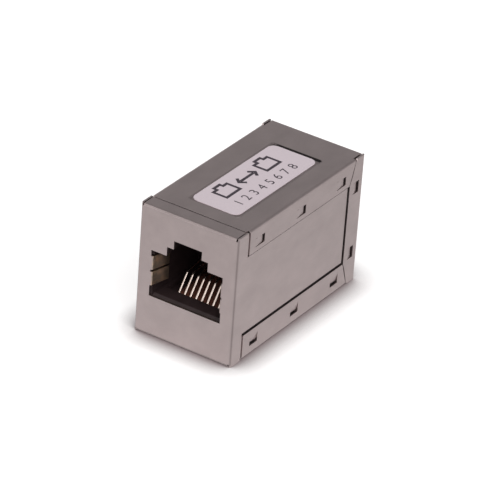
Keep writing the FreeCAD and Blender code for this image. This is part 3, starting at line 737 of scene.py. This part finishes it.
def tab_list(p):
    """The tabs of the top, bottom and rear flaps: sizes, lean, the middle of the root, and whether the free
    end points back or up. The bottom flap's are seen upside down."""
    def tab(sizes, lean, y, z, back=True):
        """One tab as named values."""
        run, width, window = sizes
        return SimpleNamespace(run=run, width=width, window=window, lean=lean, y=y, z=z, back=back)

    tabs = p.tabs
    ends = np.linspace(p.front + tabs.first_end, p.last_window, tabs.count)
    top = [tab(tabs.top, tabs.top_lean, end - tabs.top[2], p.height - tabs.top_drop) for end in ends]
    bottom = [tab(tabs.bottom, tabs.bottom_lean, end - tabs.bottom[1] / 2, p.height - tabs.bottom_rise, False)
              for end in ends]
    rear = [tab(tabs.rear, tabs.rear_lean, p.rear - tabs.rear_setback, z)
            for z in (tabs.rear_rise, p.height - tabs.rear_drop)]
    return top, bottom, rear


def tab_area(tab, run, width, before=0.0):
    """Low and high y and z of an area that starts a bit before a tab's root and runs on from it."""
    if tab.back:
        return tab.y - before, tab.y + run, tab.z - width / 2, tab.z + width / 2
    return tab.y - width / 2, tab.y + width / 2, tab.z - before, tab.z + run


def tab_window(tab, gap=0.0):
    """Area of the window that a tab was cut from, with a gap all round it."""
    return tab_area(tab, tab.window + gap, tab.width + 2 * gap, gap)


def tab_sheet(p, tab, slack=0.0):
    """Area of the tab itself, lying flat."""
    return tab_area(tab, tab.run + slack, tab.width - p.tabs.slit + 2 * slack)


def cut_tabs(p, tabs, y, z):
    """Cells of a flap that stay: not in a window, or on its tab."""
    stays = np.ones_like(y, bool)
    for tab in tabs:
        stays &= ~within(y, z, tab_window(tab)) | within(y, z, tab_sheet(p, tab))
    return stays


def press_tabs(p, tabs, x, y, z):
    """Turns each tab about its root: a point s along it moves s cos(lean) along and s sin(lean) inwards."""
    for tab in tabs:
        on = within(y, z, tab_sheet(p, tab, p.tabs.slit / 4))
        s = y - tab.y if tab.back else z - tab.z
        x = np.where(on, x - s * math.sin(tab.lean), x)
        if tab.back:
            y = np.where(on, tab.y + s * math.cos(tab.lean), y)
        else:
            z = np.where(on, tab.z + s * math.cos(tab.lean), z)
    return x, y, z


def tab_stops(p, tabs):
    """Grid stops along y and z that the tabs and their windows need."""
    areas = [tab_window(tab) for tab in tabs] + [tab_sheet(p, tab) for tab in tabs]
    return [v for area in areas for v in area[:2]], [v for area in areas for v in area[2:]]


def front_wrap(p):
    """Face and both side walls in one run: u is the flat distance across from the middle, v the height.
    The walls behind the strip part into the flush tongue and the locking frame, which steps inwards."""
    line = Route([(0, p.face), (p.wall, p.face), (p.wall, p.frame_end)], [p.fold])
    (bend_start, bend_end), = line.bends()
    relief_at = bend_start + p.relief_turn
    flat = lambda y: bend_end + y - (p.front + p.bend)
    depth_of = lambda u: np.abs(u) - bend_end + p.front + p.bend
    top, bottom, rear = tab_list(p)
    gap = p.tabs.window_gap
    windows = [tab_window(tab, gap) for tab in top + rear]
    windows += [(front, back, p.height - high, p.height - low)
                for front, back, low, high in (tab_window(tab, gap) for tab in bottom)]
    tongue = (p.strip_end, p.rear_flap_front - p.tongue_gap, p.bottom_flap + p.bottom_slit,
              p.top_edge - p.top_slit)

    def in_frame(y, z, slack=0.0):
        """True on the locking frame: two rails and the upright behind the rear flap."""
        rails = (z < p.bottom_flap + slack) | (z > p.top_edge - slack)
        return (y > p.strip_end) & (rails | (y > p.rear_flap_front - slack))

    def place(u, v):
        x, y, _ = line.at(np.abs(u))
        x, y = folded_leaves(p, u, v, np.sign(u) * x, y)
        step = p.layer_step * rise(y, p.strip_end, p.flap_front)
        return np.where(in_frame(depth_of(u), v, SNAP), x - np.sign(u) * step, x), y, v

    def keep(u, v):
        y = depth_of(u)
        lip_side = (np.abs(u) < relief_at) & ((v > p.bend_top) | (v < p.bend))
        frame_cell = in_frame(y, v) & (v > p.frame_low) & (v < p.frame_high)
        for window in windows:
            frame_cell &= ~within(y, v, window)
        return (y < p.strip_end) & ~lip_side & on_face(p, u, v) | within(y, v, tongue) | frame_cell

    across, up = mouth_stops(p)
    ys = [p.strip_end, p.flap_front, tongue[1], p.rear_flap_front] + [v for w in windows for v in w[:2]]
    side = [bend_start, bend_end, relief_at, line.length] + [flat(y) for y in ys]
    folds = [(bend_start, bend_end), (flat(p.strip_end), flat(p.flap_front))]
    folds += [(-end, -start) for start, end in folds]
    us = grid_lines(across + [p.lip_half, -p.lip_half, 0] + side + [-u for u in side], folds + leaf_spans(p))
    zs = [0, p.height, p.bend, p.bend_top, p.frame_low, p.frame_high, tongue[2], tongue[3], p.bottom_flap,
          p.top_edge] + up + [v for w in windows for v in w[2:]]
    return surface(us, grid_lines(zs), place, keep), us


def front_lip(p, across):
    """Top lip: u across, v the flat distance up from the face, round the fold and back."""
    line = Route([(p.face, p.bend_top), (p.face, p.roof), (p.front + p.lip, p.roof)], [p.fold])

    def place(u, v):
        y, z, _ = line.at(v)
        return u, y, z

    us = across[np.abs(across) < p.lip_half + NEAR]
    return surface(us, grid_lines([0, line.length], line.bends()), place, everywhere)


def label_box(label):
    """Lowest and highest corner of the label's paper."""
    low, high = in_mm("label")
    return low, high + [0, label.tail, 0]


def label_edge():
    """Signed distance to the recess's outline, a rounded rectangle round the label: negative inside. Also the
    spans across and along in which its edge is pressed, and the label's settings."""
    label = settings("label")
    low, high = (corner[:2] for corner in label_box(label))
    low, high, corner = low - label.margin[:2], high + label.margin[2:], label.corner
    middle, half = (low + high) / 2, (high - low) / 2 - corner

    def distance(x, y):
        out_x, out_y = np.abs(x - middle[0]) - half[0], np.abs(y - middle[1]) - half[1]
        outside = np.hypot(np.maximum(out_x, 0), np.maximum(out_y, 0))
        return outside + np.minimum(np.maximum(out_x, out_y), 0) - corner

    clear = label.slope + PRESS_CLEAR
    spans = [[(start - clear, start + corner), (end - corner, end + clear)] for start, end in zip(low, high)]
    return distance, spans, label


def rear_wrap(p, ys_top, ys_bottom, zs_rear):
    """Top panel, rear face and bottom panel in one run: u across, v the flat distance from the top seam.
    The label's recess is pressed down by its depth where the outline's distance is negative."""
    distance, (label_x, _), label = label_edge()
    line = Route([(p.seam, p.roof), (p.back, p.roof), (p.back, p.middle), (p.seam, p.middle)], [p.fold] * 2)
    (first_start, first_end), (second_start, second_end) = line.bends()

    def place(u, v):
        y, z, _ = line.at(v)
        x, flipped = folded_leaves(p, u, z, u, -y)
        on_rear = (v > first_end - NEAR) & (v < second_start + NEAR)
        x, y = np.where(on_rear, x, u), np.where(on_rear, -flipped, y)
        pressed = label.recess * smooth(-distance(x, y) / label.slope)
        return x, y, z - np.where(v < first_start, pressed, 0)

    def keep(u, v):
        on_rear = (v > first_end) & (v < second_start)
        return ~on_rear | on_face(p, u, line.at(v)[1])

    us = grid_lines(mouth_stops(p)[0] + [-p.panel_half, p.panel_half], leaf_spans(p) + label_x, EDGE_STEP)
    vs = np.concatenate([ys_top - p.seam, fold_lines(first_start, first_end),
                         first_end + (zs_rear[-1] - zs_rear)[::-1], fold_lines(second_start, second_end),
                         second_end + (ys_bottom[-1] - ys_bottom)[::-1]])
    return surface(us, vs, place, keep)


def side_flap(p, flap, tabs, ys):
    """Right-hand flap folded down from the top panel: u is the flat distance from the panel's end, v is y.
    Its rear edge leans forward with the drop, so that it mitres with the rear flap."""
    line = Route([(p.panel_half, p.roof), (p.wall, p.roof), (p.wall, p.height - flap)], [p.fold])
    (start, end), = line.bends()

    def place(u, v):
        x, z, _ = line.at(u)
        drop = np.clip((p.roof - z) / (flap - p.middle), 0, 1)
        lost = drop * (p.mitre_run + p.mitre_gap / 2)
        leaning = np.maximum(v - p.last_window, 0) / (p.mitre_end - p.last_window)
        return press_tabs(p, tabs, x, v - lost * leaning, z)

    def keep(u, v):
        return cut_tabs(p, tabs, v, line.at(u)[1])

    tab_us = [end + p.bend_top - z for z in tab_stops(p, tabs)[1]]
    us = grid_lines([0, start, end, line.length] + tab_us, line.bends())
    return surface(us, ys[(ys > p.flap_front - NEAR) & (ys < p.mitre_end + NEAR)], place, keep)


def rear_side_flap(p, tabs, zs):
    """Right-hand flap folded forward from the rear face: u is the flat distance from the panel's end, v is z.
    Near its front edge the top and bottom are squeezed to the mitre lines."""
    line = Route([(p.panel_half, p.back), (p.wall, p.back), (p.wall, p.rear_flap_front)], [p.fold])
    (start, end), = line.bends()
    relief_at = start + p.relief_turn
    lower, upper = (tab_window(tab) for tab in tabs)

    def place(u, v):
        x, y, _ = line.at(u)
        ahead = np.clip(1 - (y - p.rear_flap_front - p.mitre_gap / 2) / p.mitre_run, 0, 1)
        by_window = y > lower[0] - NEAR
        high_from = np.where(by_window, upper[3], upper[2])
        low_from = np.where(by_window, lower[2], lower[3])
        z = v - p.top_flap * ahead * np.clip((v - high_from) / (p.height - high_from), 0, 1)
        z = z + p.bottom_flap * ahead * np.clip((low_from - v) / low_from, 0, 1)
        return press_tabs(p, tabs, x, y, z)

    def keep(u, v):
        corner = (u < relief_at) & ((v > p.bend_top) | (v < p.bend))
        return cut_tabs(p, tabs, line.at(u)[1], v) & ~corner

    flat = [end + p.rear - p.bend - y for y in tab_stops(p, tabs)[0] + [p.mitre_end]]
    us = grid_lines([0, start, relief_at, end, line.length] + flat, line.bends())
    points, quads = surface(us, np.concatenate([[0], zs, [p.height]]), place, keep)
    return points, quads[:, ::-1]


def stamped(piece, p):
    """Gives the middle surface its sheet thickness and rounds the sheared edges."""
    wall = piece.modifiers.new("sheet", "SOLIDIFY")
    wall.thickness, wall.offset = p.sheet, 0
    wall.use_even_offset = True
    edges = piece.modifiers.new("sheared_edges", "BEVEL")
    edges.width, edges.segments = p.edge_round, EDGE_SEGMENTS
    edges.limit_method, edges.angle_limit = "ANGLE", SHARP_TURN
    piece.modifiers.new("flat_faces", "WEIGHTED_NORMAL").weight = FLAT_WEIGHT
    piece.data.shade_smooth()
    return piece


def shaded(piece, p):
    """Gives every point of a finished shell its painted shade and its leaf value. A point's depths inside the
    three pairs of the box's faces are sorted: on a flat face the least is nothing and the second large, while
    in a fold the second is small too. The axis of the largest depth is the way the fold runs. The turn round
    it is the angle whose cosine and sine are the bend's radius less the depths in its first and second face,
    and the painted shade is deepest at the fold's own turn. The groove round the label gets painted shadow,
    the leaf value marks where the leaves take their painted reflection, and their tips get painted shade."""
    finish, (distance, _, label) = settings("finish"), label_edge()
    points = np.empty(len(piece.data.vertices) * 3)
    piece.data.vertices.foreach_get("co", points)
    x, y, z = points.reshape(-1, 3).T / MM
    inside = p.rear - np.abs(y)
    depths = np.array([p.half - np.abs(x), inside, p.height / 2 - np.abs(z - p.height / 2)])
    across, upright, along = range(3)
    runs = np.argmax(depths, axis=0)
    first, second = np.choose(runs, depths[[1, 0, 1]]), np.choose(runs, depths[[2, 2, 0]])
    # painted shade along the folds, deepest at each fold's own turn
    kept, deepest = (np.array(of_fold)[[across, along, upright]][runs]
                     for of_fold in (finish.fold_shade, finish.fold_turn))
    turn = np.arctan2(p.bend - second, p.bend - first)
    fold = smooth(1 - np.abs(turn - deepest) / finish.fold_reach)
    low, high = label_box(label)
    # painted shadow in the groove round the label, deepest behind it and towards its right
    behind = rise(y - high[1], *finish.groove_rear) * rise(x - low[0], *finish.groove_left)
    groove = (z > p.height - p.sheet) * (1 - rise(distance(x, y), 0, finish.groove_reach))
    groove = groove * (finish.groove_side + (1 - finish.groove_side) * behind)
    shade = (1 - (1 - kept) * fold) * (1 - (1 - finish.groove_shade) * groove)
    # leaf value: where the leaves take their painted reflection of the gold contacts
    leaf = rise(inside, *finish.leaf_root) * in_mouth(p, x, z)
    # painted shade on the leaves towards their tips, deep in the socket
    far_in = rise(inside / p.socket.leaf_length, *finish.leaf_dark)
    shade = shade * (1 - (1 - finish.leaf_tip) * leaf * far_in)
    for name, values in (("shade", shade), ("leaf", leaf)):
        piece.data.attributes.new(name, "FLOAT", "POINT").data.foreach_set("value", values)


def built_shell(name, parts, p, nickel, replaced):
    """Finished shell from its folded parts."""
    shaded(finish_piece(stamped(mesh_object(name, parts), p), nickel, [replaced]), p)


class COUPLER_OT_shells(bpy.types.Operator):
    """Folds both shield shells from flat patterns: each panel is a grid of flat distances bent on a route"""
    bl_idname = "coupler.shells"
    bl_label = "Shield shells"

    def execute(self, context):
        p, nickel = sheet_plan(), nickel_finish()
        wrap, across = front_wrap(p)
        lip = front_lip(p, across)
        built_shell("shield_front", [wrap, lip, mirrored(lip, 2, p.height / 2)], p, nickel, "front_shell")

        top, bottom, rear = tab_list(p)
        _, (_, label_y), _ = label_edge()
        edge_ys = [p.seam, p.rear - p.bend, p.flap_front, p.last_window, p.mitre_end]
        ys_top = grid_lines(edge_ys + tab_stops(p, top)[0], label_y, EDGE_STEP)
        ys_bottom = grid_lines(edge_ys + tab_stops(p, bottom)[0])
        zs_rear = grid_lines([p.bend, p.bend_top] + mouth_stops(p)[1] + tab_stops(p, rear)[1])
        flaps = [side_flap(p, p.top_flap, top, ys_top),
                 mirrored(side_flap(p, p.bottom_flap, bottom, ys_bottom), 2, p.height / 2),
                 rear_side_flap(p, rear, zs_rear)]
        parts = [rear_wrap(p, ys_top, ys_bottom, zs_rear)] + flaps + [mirrored(flap, 0) for flap in flaps]
        built_shell("shield_rear", parts, p, nickel, "rear_shell")
        return {"FINISHED"}


# ---- Contacts ----
def swept(route, section, x):
    """A closed profile carried along a route: u goes round the profile, v along the route. Each point stands
    off the middle line by the profile's offsets across and along the normal. The profile gets smaller over
    the last bit of both ends and shrinks to a point there."""
    across, off = section
    last = route.length
    distances = grid_lines([0, last], route.bends(), *WIRE_STEPS)[1:-1]
    distances = np.concatenate([[0, WIRE_END], distances, [last - WIRE_END, last]])

    def place(u, v):
        y, z, way = route.at(v)
        size = WIRE_TIP + (1 - WIRE_TIP) * np.clip(np.minimum(v, last - v) / WIRE_END, 0, 1)
        size = np.where((v < NEAR) | (v > last - NEAR), 0, size)
        point = u.astype(int) % len(across)
        offset = off[point] * size
        return x + across[point] * size, y - np.sin(way) * offset, z + np.cos(way) * offset

    return surface(np.arange(len(across) + 1), distances, place, everywhere)


def wire_section(width, thickness, squareness):
    """Superellipse as two arrays, across and along the normal: each is half the size times the cosine or sine
    of the turn, raised to two over the squareness. It goes round clockwise, so that faces look outwards."""
    turn = np.linspace(0, -2 * math.pi, WIRE_POINTS, endpoint=False)
    bent = lambda wave: np.sign(wave) * np.abs(wave) ** (2 / squareness)
    return bent(np.cos(turn)) * width / 2, bent(np.sin(turn)) * thickness / 2


def contact_route(socket, jogged):
    """A contact's middle line in a jack's own plane, from the board end: along the upper level, round the
    carrier's nose, up to the knee and back to the tip. A jogged one starts on the lower level."""
    low, high = in_mm("front_contact_1")
    half = socket.wire[1] / 2
    upper, lower = low[2] + half, in_mm("front_contact_2")[0][2] + half
    foot = low[1] + half + socket.nose_radius * (1 - 1 / math.tan(socket.rise_angle / 2))
    # the tip's upper edge is the highest point; the middle line ends half a thickness under it
    tip_z = high[2] - half * math.cos(socket.top_angle)
    knee_z = tip_z - socket.knee_drop
    knee_y = foot + (knee_z - upper) / math.tan(socket.rise_angle)
    tip_y = knee_y + (tip_z - knee_z) / math.tan(socket.top_angle)
    points = [(foot, upper), (knee_y, knee_z), (tip_y, tip_z)]
    radii = [socket.nose_radius, socket.knee_radius]
    if not jogged:
        return Route([(high[1], upper)] + points, radii)
    back, leave = in_mm("front_contact_2")[1][1], -socket.jog_back
    return Route([(back, lower), (leave + upper - lower, lower), (leave, upper)] + points,
                 [socket.jog_radius] * 2 + radii)


class COUPLER_OT_contacts(bpy.types.Operator):
    """Sweeps a rounded wire section along the route of each sprung contact of both jacks"""
    bl_idname = "coupler.contacts"
    bl_label = "Contacts"

    def execute(self, context):
        socket = settings("socket")
        gilt = gilt_finish()
        section = wire_section(*socket.wire, socket.wire_squareness)
        for number in range(1, CONTACTS + 1):
            low, high = in_mm("front_contact_%d" % number)
            wire = swept(contact_route(socket, number % 2 == 0), section, (low[0] + high[0]) / 2)
            for end, part in zip(ENDS, (wire, turned(wire))):
                piece = mesh_object("%s_spring_%d" % (end, number), part)
                piece.data.shade_smooth()
                finish_piece(piece, gilt, ["%s_contact_%d" % (end, number)])
        return {"FINISHED"}


# ---- Label print ----
def stroke(points, width, closed=False):
    """Flat stroke along plane points: at each one, a point to either side along the joint's normal, half the
    width away over the cosine of half the joint's turn."""
    points = np.array(points, float)
    ahead = np.roll(points, -1, 0) - points
    back = points - np.roll(points, 1, 0)
    if not closed:
        ahead[-1], back[0] = back[-1], ahead[0]
    ahead /= np.linalg.norm(ahead, axis=1)[:, None]
    back /= np.linalg.norm(back, axis=1)[:, None]
    normal = np.stack([-(ahead + back)[:, 1], (ahead + back)[:, 0]], 1)
    normal /= np.linalg.norm(normal, axis=1)[:, None]
    slant = (normal * np.stack([-back[:, 1], back[:, 0]], 1)).sum(1)[:, None]
    reach = width / 2 / np.maximum(MITRE_LIMIT, slant)
    sides = np.stack([points - normal * reach, points + normal * reach], 1)
    if closed:
        sides = np.concatenate([sides, sides[:1]])
    number = np.arange(len(sides) * 2).reshape(-1, 2)
    quads = np.stack([number[:-1, 0], number[1:, 0], number[1:, 1], number[:-1, 1]], -1)
    flat = sides.reshape(-1, 2)
    return np.column_stack([flat, np.zeros(len(flat))]), quads


def paper_sheet(label):
    """Plate with a rounded rectangle's outline: u counts rings from the middle of its top, over the softened
    edge, to the middle of its underside, v goes round. A ring inset by e is the corners' centres plus the
    corner radius less e along each direction."""
    low, high = label_box(label)
    turn = np.linspace(0, 2 * math.pi, PAPER_POINTS, endpoint=False) + math.pi / PAPER_POINTS
    way = np.stack([np.cos(turn), np.sin(turn)])
    middle, half = (low + high)[:2, None] / 2, (high - low)[:2, None] / 2 - label.round
    soft, top, under = label.soft_edge, high[2], low[2]
    on_arc = SOFT_MIDDLE * soft
    rings = [(0, top), (soft, top), (on_arc, top - on_arc), (0, top - soft), (0, under), (0, under)]
    insets, heights = np.array(rings).T
    last = len(rings) - 1

    def place(u, v):
        ring, point = u.astype(int), v.astype(int) % PAPER_POINTS
        x, y = (middle + half * np.sign(way))[:, point] + (label.round - insets[ring]) * way[:, point]
        closed = (ring == 0) | (ring == last)
        return np.where(closed, middle[0], x), np.where(closed, middle[1], y), heights[ring]

    return surface(np.arange(last + 1), np.arange(PAPER_POINTS + 1), place, everywhere)


def symbol_strokes(label, length_y, width_x):
    """Both sockets and the double arrow between them, reading towards the rear: x from the label's front,
    y up from the symbols' foot."""
    tall = width_x * label.symbol
    wide, shoulder, step = tall * np.array(label.jack_shape)
    arrow, head, gap = tall * np.array(label.arrow_shape)
    first = (length_y - 2 * wide - 2 * gap - arrow) / 2
    start, end = first + wide + gap, first + wide + gap + arrow
    level = (tall - step) / 2

    def jack(left):
        """Outline of a socket with its latch notch."""
        right = left + wide
        return stroke([(left, 0), (right, 0), (right, tall - step), (right - shoulder, tall - step),
                       (right - shoulder, tall), (left + shoulder, tall), (left + shoulder, tall - step),
                       (left, tall - step)], label.stroke, closed=True)

    def arrow_head(tip, inwards):
        """Two strokes that meet at a tip."""
        wing, point = tip + inwards * head, tip + inwards * label.arrow_point
        return stroke([(wing, level + head), (point, level), (wing, level - head)], label.stroke)

    shaft = stroke([(start + label.stroke, level), (end - label.stroke, level)], label.stroke)
    return [jack(first), jack(end + gap), shaft, arrow_head(start, 1), arrow_head(end, -1)]


def digits_mesh(label):
    """Plain digits as a flat mesh round the origin."""
    curve = bpy.data.curves.new("label_digits", "FONT")
    curve.body = " ".join(str(number) for number in range(1, CONTACTS + 1))
    curve.size = label.digit * DIGIT_EM
    curve.space_character = label.digit_spacing
    curve.align_x, curve.align_y = "CENTER", "CENTER"
    curve.resolution_u = DIGIT_STEPS
    text = linked("label_digits", curve)
    bpy.context.view_layer.update()
    mesh = bpy.data.meshes.new_from_object(text.evaluated_get(bpy.context.evaluated_depsgraph_get()))
    bpy.data.objects.remove(text)
    return mesh


def printed(piece, ink):
    """Gives a flat print its thickness, half of it sunk into the paper, and its ink."""
    layer = piece.modifiers.new("ink", "SOLIDIFY")
    layer.thickness, layer.offset = 2 * PAPER_GAP, -1
    finish_piece(piece, ink)


class COUPLER_OT_print(bpy.types.Operator):
    """Cuts the label's paper and draws its plain symbols and digits as flat strokes just over it"""
    bl_idname = "coupler.print"
    bl_label = "Label"

    def execute(self, context):
        label, ink = settings("label"), ink_finish()
        low, high = in_mm("label")
        width_x, length_y, _ = high - low
        finish_piece(mesh_object("label_sheet", paper_sheet(label)), paper_finish(), ["label"])

        def laid(points, foot, start):
            """Plane drawing laid on the paper: its x runs towards the rear, its y towards the left side."""
            return np.column_stack([foot - points[:, 1], start + points[:, 0],
                                    np.full(len(points), high[2] + PAPER_GAP)])

        foot = (low[0] + high[0]) / 2 - width_x * label.symbol_shift
        symbols = [(laid(points, foot, low[1]), quads)
                   for points, quads in symbol_strokes(label, length_y, width_x)]
        printed(mesh_object("label_symbols", symbols), ink)

        mesh = digits_mesh(label)
        points = np.empty(len(mesh.vertices) * 3)
        mesh.vertices.foreach_get("co", points)
        placed = laid(points.reshape(-1, 3), low[0] + width_x * label.digit_line, (low[1] + high[1]) / 2)
        mesh.vertices.foreach_set("co", placed.ravel())
        printed(linked("label_digits", welded(mesh, DIGIT_WELD)), ink)
        return {"FINISHED"}


# ---- Pieces carried over from the frame ----
class COUPLER_OT_carried(bpy.types.Operator):
    """Gives the mouldings and the board their finishes"""
    bl_idname = "coupler.carried"
    bl_label = "Mouldings and board"

    def execute(self, context):
        finish = settings("finish")
        looks = {"circuit_board": laminate_finish()}
        housing = moulding_finish("housing_moulding", finish.moulding, finish.housing_roughness)
        # the carrier takes a painted reflection of the gold contacts out to the last contact
        contacts_half = np.abs(in_mm("front_contact_%d" % CONTACTS))[:, 0].max()
        carrier = moulding_finish("carrier_moulding", finish.moulding, finish.carrier_roughness,
                                  finish.carrier, contacts_half)
        for end in ENDS:
            looks[end + "_jack_housing"] = housing
            looks[end + "_contact_carrier"] = carrier
        for name, look in looks.items():
            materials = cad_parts[name].data.materials
            materials.clear()
            materials.append(look)
        return {"FINISHED"}


# ---- Stage ----
def floor_finish():
    """Pale floor: seen directly or in a reflection it is lifted to white; it keeps the lamps' soft shadow,
    and a painted shadow darkens it at the coupler's foot.
    """
    stage = settings("stage")
    material, tree, shader = new_finish("studio_floor", Roughness=0.9, Specular_IOR_Level=0.1)
    # painted shadow at the coupler's foot: a point of the floor right at a wall's foot sees half the sky
    foot = node(tree, "AmbientOcclusion", "AO", Distance=stage.contact_reach * MM)
    ray = tree.nodes.new("ShaderNodeLightPath").outputs
    mirrored_ray = worked(tree, "MAXIMUM", ray["Is Glossy Ray"], ray["Is Transmission Ray"])
    openness = worked(tree, "MAXIMUM", ranged(tree, foot, 0, 1, 0.5, 1), mirrored_ray)
    reach = tree.nodes.new("ShaderNodeVectorMath")
    reach.operation = "LENGTH"
    feed(reach.inputs[0], place_of(tree))
    # painted light in reflections: the mirrored floor is paler near the coupler than further off
    pool = ranged(tree, reach.outputs["Value"], *stage.floor_mirrored, *(v * MM for v in stage.floor_pool))
    seen = worked(tree, "MULTIPLY", ray["Is Camera Ray"], stage.floor_lift)
    lift = worked(tree, "MAXIMUM", seen, worked(tree, "MULTIPLY", mirrored_ray, pool))
    upper_side = worked(tree, "SUBTRACT", 1.0, node(tree, "NewGeometry", "Backfacing"))
    dress(shader, Base_Color=blended(tree, openness, stage.contact_shade, stage.floor),
          Emission_Color=openness, Emission_Strength=lift, Alpha=upper_side)
    return material


def panel_light(name, way, size, radiance, tint, target):
    """Soft square lamp that faces a target from a way off; its power gives the radiance whatever its size."""
    lamp = bpy.data.lights.new(name, "AREA")
    lamp.shape, lamp.size = "SQUARE", size * MM
    lamp.energy = radiance * math.pi * lamp.size ** 2
    lamp.color = tint
    holder = linked(name, lamp)
    holder.location = target + LAMP_RANGE * Vector(way)
    holder.rotation_mode = "QUATERNION"
    holder.rotation_quaternion = (-Vector(way)).to_track_quat("-Z", "Y")


def surroundings(stage):
    """World that is pale at the horizon, like a backdrop, and darker overhead."""
    world = bpy.data.worlds.new("studio")
    world.use_nodes = True
    tree = world.node_tree
    height = node(tree, "SeparateXYZ", "Z", Vector=node(tree, "TexCoord", "Generated"))
    dress(tree.nodes["Background"], Color=(*stage.sky_tint, 1),
          Strength=ranged(tree, height, stage.backdrop, stage.overhead, *stage.horizon))
    return world


def aimed_camera(stage, middle):
    """Camera on a sphere round the coupler's middle: back, right and up are its axes, and its place is the
    middle plus the distance along back, less the aim along right and up."""
    side = Vector((math.cos(stage.azimuth), math.sin(stage.azimuth), 0))
    toward = Vector((math.sin(stage.azimuth), -math.cos(stage.azimuth), 0))
    back = toward * math.cos(stage.elevation) + Vector((0, 0, 1)) * math.sin(stage.elevation)
    above = back.cross(side)
    right = side * math.cos(stage.roll) + above * math.sin(stage.roll)
    up = above * math.cos(stage.roll) - side * math.sin(stage.roll)
    camera = bpy.data.cameras.new("camera")
    camera.lens, camera.sensor_width = stage.lens, SENSOR
    camera.clip_start, camera.clip_end = CLIP
    holder = linked("camera", camera)
    eye = middle + MM * (stage.distance * back - stage.aim[0] * right - stage.aim[1] * up)
    holder.matrix_world = Matrix.Translation(eye) @ Matrix((right, up, back)).transposed().to_4x4()
    return holder


class COUPLER_OT_stage(bpy.types.Operator):
    """Sets up the pale floor, the soft lamps, the surrounding light and the camera"""
    bl_idname = "coupler.stage"
    bl_label = "Stage"

    def execute(self, context):
        stage, scene = settings("stage"), context.scene
        scene.view_settings.view_transform = "Standard"
        low, high = CAD_BOX
        middle = (low + high) / 2

        us = np.linspace(-FLOOR_HALF, FLOOR_HALF, 3)
        floor = mesh_object("floor", surface(us, us, lambda u, v: (u, v, u * 0), everywhere))
        floor.data.transform(Matrix.Translation((0, 0, low.z - FLOOR_DROP * MM)) @ Matrix.Scale(MM, 4))
        floor.data.materials.append(floor_finish())

        panel_light("key_panel", stage.key_way, stage.key_size, stage.key, stage.lamp_tint, middle)
        panel_light("fill_panel", stage.fill_way, stage.fill_size, stage.fill, stage.lamp_tint, middle)
        scene.world = surroundings(stage)
        scene.camera = aimed_camera(stage, middle)
        return {"FINISHED"}


class COUPLER_PT_panel(bpy.types.Panel):
    """Sidebar panel with every step and setting"""
    bl_idname = "COUPLER_PT_panel"
    bl_label = "Inline coupler"
    bl_space_type = "VIEW_3D"
    bl_region_type = "UI"
    bl_category = "Coupler"

    def draw(self, context):
        for step in OPERATORS:
            self.layout.operator(step.bl_idname)
        for name, group in GROUPS.items():
            box = self.layout.box()
            box.label(text=group.__doc__.rstrip("."))
            for prop in getattr(context.scene, name).bl_rna.properties:
                if prop.identifier not in ("name", "rna_type"):
                    box.prop(getattr(context.scene, name), prop.identifier)


OPERATORS = (COUPLER_OT_stage, COUPLER_OT_shells, COUPLER_OT_contacts, COUPLER_OT_print, COUPLER_OT_carried)
CLASSES = (*GROUPS.values(), *OPERATORS, COUPLER_PT_panel)


def register():
    for cls in CLASSES:
        bpy.utils.register_class(cls)
    for name, group in GROUPS.items():
        setattr(bpy.types.Scene, name, bpy.props.PointerProperty(type=group))


def unregister():
    for name in GROUPS:
        delattr(bpy.types.Scene, name)
    for cls in reversed(CLASSES):
        bpy.utils.unregister_class(cls)


def main():
    register()
    for step in OPERATORS:
        area, name = step.bl_idname.split(".")
        getattr(getattr(bpy.ops, area), name)()


if __name__ == "__main__":
    main()
